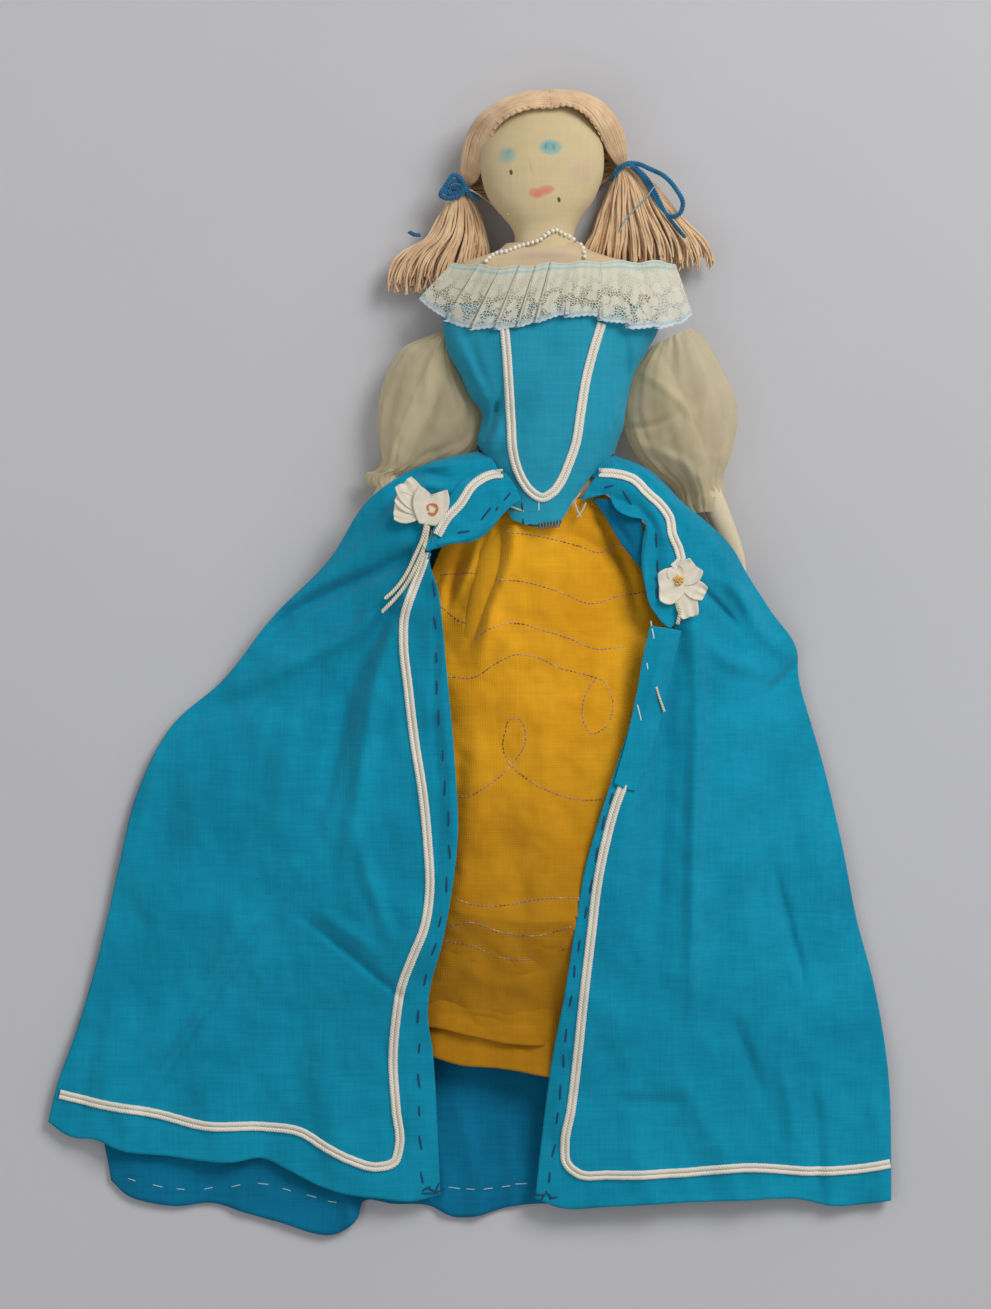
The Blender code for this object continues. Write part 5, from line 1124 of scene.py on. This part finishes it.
yarn = make_yarn("peach_yarn", "EBCBA2", "D4AE84")
# A darker copy of the yarn, painted shade for the cap seen in the gaps between the strands; the small stitches use it
# too
hair_painted_shade = make_yarn("yarn_painted_shade", "AD8A62", "8D6D49")
# Lines of each half from the parting to its tie: over the forehead, round the outside, and behind
hair_lines = {
    "left": ([(551, 110, 33.8), (530, 111, 34.2), (511, 117, 32.8), (495, 129, 29), (486, 147, 23), (481, 165, 17.5),
              (474, 180, 13), (463, 188, 10.5)],
             [(550, 91.5, 17), (527, 94, 17), (500, 102, 17), (478, 118, 16.5), (466, 139, 16), (461.5, 160, 14.5),
              (460, 177, 12), (458, 188, 9.5)],
             [(551, 200, 1.2), (530, 203, 1.2), (512, 203, 1.3), (497, 201, 1.6), (485, 198, 2.5), (476, 195, 4),
              (469, 193, 5.5), (462, 191, 7.5)]),
    "right": [[(551, 110, 33.8), (566, 108, 34.2), (582, 114, 33), (594, 126, 29.5), (602, 139, 24), (607, 150, 19),
               (615, 160, 14), (622, 167, 11)],
              [(550, 91.5, 17), (570, 92, 17), (592, 98, 17), (610, 111, 16.5), (621, 128, 16), (626, 143, 14.5),
               (627, 155, 12), (627, 165, 9.5)],
              [(551, 200, 1.2), (568, 202, 1.2), (583, 199, 1.3), (594, 192, 1.6), (603, 184, 2.5), (611, 178, 4),
               (616, 174, 5.5), (622, 170, 7.5)]],
}


def hair_point(label, share, angle, out=0.0):
    """A place on one half of the hair: share from parting to tie, angle 0 (front edge) to 180 (behind)."""
    front, outer, behind = (run(line, [share])[0] for line in hair_lines[label])
    radians = math.radians(angle)
    if angle <= 90:
        place = np.array([*(front[:2] + (outer[:2] - front[:2]) * math.sin(radians)),
                          outer[2] + (front[2] - outer[2]) * math.cos(radians)])
    else:
        place = np.array([*(behind[:2] + (outer[:2] - behind[:2]) * math.sin(radians)),
                          outer[2] - (outer[2] - behind[2]) * -math.cos(radians)])
    middle = np.array([548, 160, 17])
    away = place - middle
    return place + away / np.linalg.norm(away) * out


dice = random.Random(11)
for label in ("left", "right"):
    grid = np.array([[hair_point(label, share, angle, -1.6) for angle in np.linspace(0, 180, 41)]
                     for share in np.linspace(0, 1, 41)])
    grid[..., 2] = np.maximum(grid[..., 2], 0.6)
    base = skin("hair_base_" + label, plan(grid), hair_painted_shade, 0.0004)
    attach(base, "doll")
    strands = []
    for angle in np.concatenate([np.linspace(1, 90, 26), np.linspace(0, 84, 12), np.linspace(94, 180, 42)]):
        wander = dice.uniform(0, 9)
        out = dice.uniform(-1.9, 0.6)
        strand = []
        for share in np.linspace(0, 1, 26):
            turn = angle + 3.2 * math.sin(share * 5 + wander) * math.sin(math.pi * share)
            strand.append(hair_point(label, share, min(180, max(0, turn)), out - 1.2 * share))
        strand = np.array(strand)
        strand[:, 2] = np.maximum(strand[:, 2], 0.75)
        strands.append(plan(strand))
    piece = paths_mesh("hair_" + label, strands, 0.00125, yarn, sides=1)
    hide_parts("hair_cap")
    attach(piece, "doll")
# The rolled front edge, caught down with small stitches
edge = [hair_point("left", share, -6, 1.0) for share in np.linspace(0.62, 0, 60)]
edge += [hair_point("right", share, -6, 1.0) for share in np.linspace(0, 0.7, 60)]
edge = np.array(edge)
edge[:, 1] += 0.8 * np.sin(np.arange(120) * 1.1)
edge[:, 2] += 0.15 * np.sin(np.arange(120) * 1.5) - 0.3
piece = paths_mesh("hair_edge", [plan(edge)], 0.0013, yarn, radii=[0.3, 1, 1.1, 1, 0.3])
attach(piece, "doll")
stitches = []
for index in range(8, 112, 5):
    x, y, z = edge[index]
    tilt = dice.uniform(-1, 1)
    across = [(x - 1.8, y - 1.2 + tilt, z), (x, y - 0.2, z + 0.65), (x + 1.8, y + 1.3 - tilt, z - 0.2)]
    stitches.append(plan(across))
piece = paths_mesh("hair_stitches", stitches, 0.0004, hair_painted_shade)
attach(piece, "doll")

# Pigtails
# The yarn ends below each tie, cut to uneven lengths and fanning out, with loose frizzy tips. They hang
# between the two edge lines.
pigtail_lines = {
    "left": ([(453, 189), (446, 203), (437, 220), (425, 238), (404, 251), (393, 263), (388, 278), (389, 293)],
             [(465, 193), (474, 203), (481, 217), (486, 234), (488, 250), (488, 264), (487, 278), (484, 292)]),
    "right": ([(617, 168), (612, 183), (604, 203), (596, 224), (590, 240), (584, 254), (581, 266), (580, 276)],
              [(631, 166), (646, 174), (659, 188), (673, 206), (690, 224), (704, 240), (710, 255), (710, 269)]),
}
for label, (left, right) in pigtail_lines.items():
    left, right = [(*p, 0) for p in left], [(*p, 0) for p in right]
    strands = []
    for index in range(290):
        across = dice.random() if index > 40 else index / 40
        deep = dice.random()
        reach = dice.uniform(0.86, 1.0)
        phase, bend = dice.uniform(0, 6.28), dice.uniform(0.5, 2.4)
        drift, flare = dice.uniform(-0.06, 0.06), dice.uniform(-7, 7)
        strand = []
        for share in np.linspace(0, reach, 22):
            u = min(1, max(0, across + drift * share + 0.012 * math.sin(share * 9 + phase)))
            place = run(left, [share])[0] * (1 - u) + run(right, [share])[0] * u
            thick = np.interp(share, (0, 0.15, 0.5, 1), (4.6, 6.2, 7.2, 5.0))
            thick *= math.sqrt(max(0.04, 1 - (2 * u - 1) ** 2))
            height = 8.6 + (2 * deep - 1) * thick
            strand.append((place[0] + bend * math.sin(share * 14 + phase) * share + flare * share ** 4,
                           place[1] + 0.6 * bend * math.cos(share * 11 + phase) * share,
                           max(0.7, min(15.6, height + 0.3 * math.sin(share * 17 + phase)))))
        strands.append(plan(strand))
    piece = paths_mesh("pigtail_yarn_" + label, strands, 0.00105, yarn, radii=[1, 1, 1, 1, 0.6], sides=1)
    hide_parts("pigtail_" + label)
    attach(piece, "doll")


# Facing
# The right front turns out: the wrong side of the cloth shows under its swag, drawn darker as painted
# shade, and a strip of the facing lies over its edge below the flower, held by three long pale stitches.
grid = patch([(592, 500, 34.6), (606, 520, 34), (618, 541, 33.6), (632, 560, 33.2)],
             [(640, 516, 35), (642, 535, 35), (641, 555, 35), (642, 572, 34.6)],
             [(592, 500, 34.6), (610, 502, 35), (625, 512, 35), (640, 516, 35)],
             [(632, 560, 33.2), (637, 566, 34), (642, 572, 34.6)], 40, 40)
fold(grid, ([(598, 506), (616, 526), (636, 556)], 4, -0.9, (0.4, 0.4)))
piece = skin("swag_wrong_side", plan(grid), wrong_side_painted_shade, 0.0005)
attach(piece, "doll")
grid = patch([(649, 626, 35.7), (643, 650, 35.8), (636, 690, 36), (625, 740, 36), (613, 782, 36)],
             [(680, 631, 34), (673, 660, 33), (664, 700, 33), (652, 745, 34), (634, 790, 35.4)],
             [(649, 626, 35.7), (664, 628, 36.3), (680, 631, 34)],
             [(613, 782, 36), (624, 788, 36.2), (634, 790, 35.4)], 40, 110)
fold(grid, ([(668, 632), (660, 655), (650, 690), (640, 740)], 5, 0.9, (0.6, 0.3)),
     ([(680, 630), (668, 672), (660, 700)], 3, -0.9, (0.6, 0.2)))
under = seated(tree_of(halves["right"]), grid.reshape(-1, 3), 0.7).reshape(grid.shape)
grid[..., 2] = np.maximum(grid[..., 2], np.minimum(under[..., 2], 37.6))
facing = skin("facing_right", plan(grid), turquoise, 0.0005)
bends(facing)
piece = threads("facing_stitches", [facing], [(651, 630, 100, 9), (646, 666, 98, 3), (638, 712, 104, 8)], 0.0005,
                white_thread)
bends(piece)

# Flowers
# Petals cut from stiffened cream ribbon and curled, with a stitched centre: a ring of orange thread on
# the left, a tuft of yellow knots on the right. They are pinned on the swags over cord stems.
petal_stuff, tree, shader = surface("petal_ribbon", Roughness=0.7, Specular_IOR_Level=0.2, Sheen_Weight=0.3)
where = add(tree, "ShaderNodeTexCoord").outputs["Object"]
vein = add(tree, "ShaderNodeTexNoise", {"Vector": where, "Scale": 420.0, "Detail": 2.0})
tone = add(tree, "ShaderNodeMix", {"Factor": vein.outputs["Fac"], "A": tint("D9CDB2"), "B": tint("F1EBDC")},
           data_type="RGBA")
tree.links.new(tone.outputs["Result"], shader.inputs["Base Color"])
relief = add(tree, "ShaderNodeBump", {"Height": vein.outputs["Fac"], "Strength": 0.3, "Distance": 0.0003})
tree.links.new(relief.outputs["Normal"], shader.inputs["Normal"])


def petals(name, leaves, steps=22):
    """Curved petals: each a base place, heading, length, width (pixels), rise, curl (mm), tip notch."""
    parts = []
    for *centre, heading, length, width, rise, curl, notch in leaves:
        way = np.array([math.cos(math.radians(heading)), -math.sin(math.radians(heading))])
        side = np.array([-way[1], way[0]])
        grid = np.empty((steps + 1, steps + 1, 3))
        for row in range(steps + 1):
            v = row / steps
            for column in range(steps + 1):
                u = column / steps * 2 - 1
                wide = width / 2 * (0.22 + 0.78 * math.sin(math.pi * min(1, v * 0.62 + 0.12)) ** 1.2)
                out = length * (v - notch * v ** 4 * (1 - abs(u)) - 0.10 * v * u * u)
                place = np.array(centre[:2]) + way * out + side * wide * u
                height = (centre[2] + rise * v + curl * (abs(u) ** 2.2) * v
                          + 0.35 * math.sin(u * 7 + heading) * v * v)
                grid[row, column] = (*place, height)
        parts.append(skin(name + "_petal", plan(grid), petal_stuff, 0.00045))
    bm = bmesh.new()
    for part in parts:
        bm.from_mesh(part.data)
        bpy.data.objects.remove(part, do_unlink=True)
    mesh = bpy.data.meshes.new(name)
    bm.to_mesh(mesh)
    bm.free()
    mesh.materials.append(petal_stuff)
    mesh.shade_smooth()
    piece = bpy.data.objects.new(name, mesh)
    bpy.context.collection.objects.link(piece)
    wall = piece.modifiers.new("ribbon", "SOLIDIFY")
    wall.thickness = 0.00045
    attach(piece, "doll")
    return piece


left_flower = petals("flower_petals_left", [
    (422, 514, 36.5, 174, 29, 24, -0.4, 0.8, 0.06), (424, 513, 36.6, 151, 31, 18, -0.2, 0.7, 0.0),
    (423, 512, 36.8, 124, 38, 24, 0.0, 0.8, 0.14), (431, 520, 36.9, 28, 15, 14, 0.4, 0.5, 0.0),
    (428, 526, 37.1, 81, 41, 36, 1.1, 0.8, 0.30)])
right_flower = petals("flower_petals_right", [
    (679, 584, 37.3, -74, 38, 22, -0.2, 0.7, 0.1), (680, 584, 37.4, -24, 27, 19, 0.1, 0.7, 0.06),
    (678, 583, 37.5, 46, 26, 25, 0.5, 0.8, 0.14), (682, 586, 37.6, 184, 27, 36, 0.7, 0.8, 0.10),
    (677, 583, 37.5, 108, 17, 18, 0.6, 0.6, 0.0)])
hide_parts("flower_left")
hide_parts("flower_right")
orange = surface("orange_thread", Base_Color=tint("D9822B"), Roughness=0.6)[0]
rings = [plan(seated(tree_of(left_flower), [(433 + 4.6 * math.cos(a) * (1 + 0.22 * math.sin(3 * a + shift)),
                                            510 - 5.6 * math.sin(a) * (1 + 0.15 * math.cos(2 * a + shift)) + shift)
                                           for a in np.linspace(-2.6, 3.3, 26)], 0.25, 37.4)) for shift in (0, 1.2)]
piece = paths_mesh("flower_stitch_left", rings, 0.00045, orange)
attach(piece, "doll")
pollen, tree, shader = surface("yellow_centre", Roughness=0.8)
where = add(tree, "ShaderNodeTexCoord").outputs["Object"]
fuzz = add(tree, "ShaderNodeTexNoise", {"Vector": where, "Scale": 1200.0, "Detail": 2.0})
tone = add(tree, "ShaderNodeMix", {"Factor": fuzz.outputs["Fac"], "A": tint("E0A33A"), "B": tint("F3D98C")},
           data_type="RGBA")
tree.links.new(tone.outputs["Result"], shader.inputs["Base Color"])
knots = []
dice = random.Random(4)
for index in range(26):
    angle, far = dice.uniform(0, 6.28), 4.6 * math.sqrt(dice.random())
    x, y = 677 + far * math.cos(angle), 581 + far * math.sin(angle)
    lean = dice.uniform(-1, 1)
    knots.append(plan([(x - 0.9, y + lean, 38.0), (x, y, 39.2 - far * 0.06), (x + 0.9, y - lean, 38.0)]))
piece = paths_mesh("flower_centre_right", knots, 0.0007, pollen)
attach(piece, "doll")

# Stems
# Cream cotton cord, twisted of two strands: two stems hang from the left flower and a short one from
# the right. Grey-green tacking threads cross beside the left ones.
cream_cord = make_yarn("cream_cord", "EFE6D0", "D8CBAE", 0.0014)


routes = {}


def twisted(name, line, thickness, material, carriers=(), lift=0.6, strands=2, pitch=5.5, closed=False):
    """A twisted cord laid along a line of places; carriers seat it on what lies below."""
    length = np.linalg.norm(np.diff(np.array(line, float)[:, :2], axis=0), axis=1).sum()
    count = int(length * 1.3) + 8
    middle = run(line, np.linspace(0, 1, count))
    if carriers:
        middle[:, 2] = np.maximum(middle[:, 2], seated(tree_of(*carriers), middle, lift)[:, 2])
    path = routes[name] = plan(middle)
    ahead = np.gradient(path, axis=0)
    ahead /= np.linalg.norm(ahead, axis=1)[:, None] + 1e-12
    aside = np.cross(ahead, (0.03, 0.02, 1))
    aside /= np.linalg.norm(aside, axis=1)[:, None] + 1e-12
    up = np.cross(aside, ahead)
    angle = np.linspace(0, length / pitch * 2 * math.pi, count)
    paths = []
    for strand in range(strands):
        turn = angle + strand * 2 * math.pi / strands
        paths.append(path + (aside * np.cos(turn)[:, None] + up * np.sin(turn)[:, None]) * thickness * 0.24)
    return paths_mesh(name, paths, thickness * 0.56, material, closed=closed, sides=1)


for label, line in (("upper", [(427, 524, 36.6), (423, 540, 36), (416, 556, 35), (405, 578, 34), (394, 592, 33),
                               (386, 599, 32)]),
                    ("lower", [(429, 527, 36.3), (425, 547, 35.8), (417, 566, 35), (406, 586, 34), (393, 602, 33),
                               (383, 612, 32)])):
    piece = twisted("stem_cord_" + label, line, 0.0017, cream_cord, [halves["left"], swags["left"]], 0.8)
    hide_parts("flower_stem_left_" + label)
    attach(piece, "doll")
piece = twisted("cord_end_right", [(655, 687, 35), (658, 697, 35), (663, 711, 34)], 0.0011, cream_cord,
                [facing, halves["right"]], 0.5)
bends(piece)
piece = twisted("stem_cord_right", [(675, 602, 37.2), (678, 612, 37.4), (676, 624, 37)], 0.0017, cream_cord,
                [swags["right"], halves["right"]], 0.8)
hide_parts("flower_stem_right")
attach(piece, "doll")
grey_green = surface("grey_green_thread", Base_Color=tint("5E7A76"), Roughness=0.6)[0]
piece = threads("tacking_threads_left", [swags["left"], halves["left"]],
                [(430, 530, 80, 7), (432, 534, 95, 8), (434, 531, 84, 6), (428, 538, 100, 5)], 0.0005, grey_green)
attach(piece, "doll")

# Hair bows
# Blue cord tied round each pigtail, its left ends cut short and its right loop hanging down. A beige
# thread and a pale blue one trail from the ties.
blue_cord = make_yarn("blue_cord", "1778A6", "0A4A70", 0.0012)
bow_lines = {
    "left": [[(470, 195, 14.6), (466, 189, 15.4), (460, 178, 15.8), (454, 175, 16), (447, 184, 16), (441, 196, 15.8),
              (449, 198.5, 15.6), (460, 195, 15.8), (467, 189, 16.2), (473, 193, 14), (479, 198, 11)],
             [(466, 190, 15.2), (459, 181, 15), (453, 181, 15), (446, 193, 15), (453, 195, 15), (463, 191, 15.4)],
             [(466, 189, 15.6), (457, 185, 15.4), (451, 188, 15.3), (449, 193, 15.3), (457, 193, 15.4), (466, 190, 15.7)],
             [(451, 191, 8), (453, 190, 13), (460, 189, 15), (466, 190, 14.4), (468, 192, 8)],
             [(409, 231, 10), (414, 234, 11.5), (420, 234, 10)]],
    "right": [[(612, 180, 9), (614, 175, 13), (619, 168, 15), (628, 163.5, 15.6), (638, 164, 15.6), (650, 169, 15.4),
               (664, 176, 15.2), (676, 189, 14.8), (683, 204, 14.2), (679, 214, 14), (670, 216, 14), (661, 207, 14.4),
               (652, 192, 15), (642, 176, 15.6), (631, 166, 16)],
              [(632, 165, 15.9), (645, 176, 15.8), (655, 192, 15.2), (664, 210, 14.6), (674, 224, 14), (685, 237, 13)],
              [(616, 173, 13.6), (622, 167, 15), (631, 164.5, 15.9), (637, 168, 13), (638, 172, 9)]],
}
for label, lines in bow_lines.items():
    for number, line in enumerate(lines):
        piece = twisted("bow_cord_%s_%d" % (label, number + 1), line, 0.0021 if number == 0 else 0.0018, blue_cord)
        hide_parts("hair_bow_" + label)
        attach(piece, "doll")
pale_blue = surface("pale_blue_thread", Base_Color=tint("8FA9B5"), Roughness=0.6)[0]
beige = surface("beige_thread", Base_Color=tint("D6C8B0"), Roughness=0.6)[0]
for name, line, material in (
        ("loose_thread_left", [(466, 188, 16.6), (478, 194, 15), (490, 202, 10), (500, 209, 14), (508, 216, 26)], beige),
        ("loose_thread_right", [(656, 184, 16.2), (646, 198, 15.9), (634, 210, 15.8), (624, 222, 15.8), (620, 231, 15.8)],
         pale_blue)):
    piece = paths_mesh(name, [plan(run(line, np.linspace(0, 1, 30)))], 0.0006, material)
    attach(piece, "doll")

# Necklace
# Seed pearls of about 2 mm, a little uneven, strung close on a thread. It is slack enough to lie on the
# shoulders in front, and runs round the back of the neck.
pearl_stuff = surface("seed_pearl", Base_Color=tint("EDE6D6"), Roughness=0.22, Coat_Weight=0.5,
                      Specular_IOR_Level=0.6)[0]
string = [(486, 263), (491, 258), (498, 254.5), (505, 253.5), (512, 251), (520, 248), (530, 245.5), (540, 242),
          (547, 236.5), (556, 232.5), (563, 236), (571, 239), (578, 243), (583, 251), (584, 259)]
bm = bmesh.new()
pearl_trees = tree_of(torso_cloth)
neck_tree = tree_of(bpy.data.objects["head_cloth"])
for place in seated(pearl_trees + neck_tree, run([(*p, 0) for p in string], np.linspace(0, 1, 27)), 0.75, 8):
    bmesh.ops.create_uvsphere(bm, u_segments=14, v_segments=9, radius=dice.uniform(0.00085, 0.00105),
                              matrix=Matrix.Translation(plan(place)))
for angle in np.linspace(0.12, 3.0, 22):
    place = (548 + 42 * math.cos(angle), 258 - 18 * math.sin(angle) + 4, 4.6 + 8 * abs(math.cos(angle)) ** 3)
    bmesh.ops.create_uvsphere(bm, u_segments=14, v_segments=9, radius=0.00095, matrix=Matrix.Translation(plan(place)))
mesh = bpy.data.meshes.new("necklace_pearls")
bm.to_mesh(mesh)
bm.free()
mesh.materials.append(pearl_stuff)
mesh.shade_smooth()
piece = bpy.data.objects.new("necklace_pearls", mesh)
bpy.context.collection.objects.link(piece)
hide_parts("pearl_necklace")
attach(piece, "doll")

# Waist
# White elastic and gathering threads draw the skirts in. A bunch of them shows beside the point of the
# bodice, a coiled grey thread below it, and a few stitches hold the point down.
waist = [[(500, 503, 31.6), (520, 511, 32.2), (538, 514, 32.4), (556, 511, 32.4), (572, 503, 32.2), (580, 494, 32.2)],
         [(574, 503, 35), (576, 510, 34.7), (580, 518, 34.3)],
         [(585, 504, 35), (582, 511, 34.7), (577, 518, 34.4)]]
piece = paths_mesh("gathering_threads", [plan(run(line, np.linspace(0, 1, 40))) for line in waist], 0.0009,
                   surface("white_elastic", Base_Color=tint("C9C0A4"), Roughness=0.6)[0])
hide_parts("waist_elastic")
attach(piece, "doll")
coil = np.linspace(0, 1, 110)
path = np.stack([537 + 24 * coil, 527.5 - 3 * coil + 3.2 * np.sin(coil * 2 * math.pi * 8),
                 34.2 + 0.5 * np.cos(coil * 2 * math.pi * 8)], axis=1)
piece = paths_mesh("gathering_coil", [plan(path)], 0.0005, surface("grey_thread", Base_Color=tint("6D7678"),
                                                                   Roughness=0.6)[0])
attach(piece, "doll")
piece = threads("point_stitches", [bodice], [(522, 508, 92, 4), (523, 523, 95, 2.5)], 0.0006, navy)
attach(piece, "doll")
piece = threads("point_tack", [bodice], [(538.5, 506, 88, 5.5)], 0.0005, white_thread)
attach(piece, "doll")

# Under the skirt
# Hidden in the photograph: the back of the petticoat, and the second doll, sewn on at the waist upside
# down. It is stuffed muslin in a plain yellow bodice, with a knot of yarn for hair.
grid = patch([(500, 524, 2), (452, 560, 2), (420, 640, 2), (396, 760, 2), (372, 900, 2), (360, 1056, 2)],
             [(595, 524, 2), (650, 560, 2), (680, 640, 2), (694, 760, 2), (700, 900, 2), (700, 1056, 2)],
             [(500, 524, 2), (548, 524, 2), (595, 524, 2)], [(360, 1056, 2), (520, 1057, 2), (700, 1056, 2)], 120, 150)
crumple(grid, 40, 0.25, 51)
grid[..., 2] = np.clip(grid[..., 2], 1.75, 2.35)
piece = skin("petticoat_back_cloth", plan(grid), yellow, 0.0)
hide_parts("petticoat_back")
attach(piece, "doll")


def leaning(rows):
    """Rows (y, half width, back, front) centred on the second doll's line, which leans to the left."""
    return [(y, 547.5 - (y - 515) * 0.061 - half, 547.5 - (y - 515) * 0.061 + half, low, high)
            for y, half, low, high in rows]


second_rows = leaning([(520, 60, 6, 24), (545, 66, 5, 25), (590, 72, 4.6, 26), (650, 82, 4.6, 26.2), (700, 86, 4.8, 26),
                       (730, 80, 5.4, 25.4), (755, 52, 7, 24), (775, 32, 9, 22), (796, 28, 9.5, 21.5)])
piece = loft("second_torso_cloth", second_rows, skin_cloth, columns=60, steps=60, ripple=stuffed(8))
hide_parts("second_torso")
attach(piece, "doll")
second_dress = leaning([(534, 66, 4.2, 26), (560, 70, 3.8, 26.8), (600, 76, 3.4, 27.4), (650, 86, 3.4, 27.6),
                        (700, 90, 3.6, 27.4), (732, 84, 4.2, 26.6)])
piece = loft("second_bodice_cloth", second_dress, yellow, columns=72, steps=50, closed=False, ripple=stuffed(9))
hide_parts("second_bodice")
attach(piece, "doll")
second_face = leaning([(794, 27, 9.5, 21.5), (806, 34, 8, 23), (820, 46, 6, 25), (840, 54, 4.9, 26), (866, 57, 4.6, 26.2),
                       (892, 53, 4.8, 26), (912, 41, 6, 25), (924, 25, 8.5, 22.5), (929, 8, 13, 18)])
piece = loft("second_head_cloth", second_face, skin_cloth, columns=60, steps=50, power=0.9, ripple=stuffed(10))
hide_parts("second_head")
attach(piece, "doll")
strands = []
for index in range(70):
    angle = index * 2.399
    far = math.sqrt(index / 70)
    x, z = 521.5 + 36 * far * math.cos(angle), 15.4 + 6.8 * far * math.sin(angle)
    tip = (521.5 + (x - 521.5) * 0.55, 948 - 4 * far, 15.4 + (z - 15.4) * 0.55)
    strands.append(plan([(x, 929 - 5 * far * far, z), (x + 1, 938, z), tip]))
piece = paths_mesh("second_hair_yarn", strands, 0.0016, yarn, sides=1)
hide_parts("second_hair_knot")
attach(piece, "doll")
for label, line in (("left", [(430, 707, 8), (421, 760, 8), (411, 820, 8), (399, 888, 8)]),
                    ("right", [(639, 720, 8), (643, 780, 8), (647, 840, 8), (650, 903, 8)])):
    piece = tube("second_arm_cloth_" + label, line, arm_radii, arm_cloth, flat=0.95)
    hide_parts("second_arm_" + label)
    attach(piece, "second_%s_arm" % label)

# Last, the skirt halves have their places baked into their meshes: every trim was seated on them as they lie
for label, half in halves.items():
    bends(half)
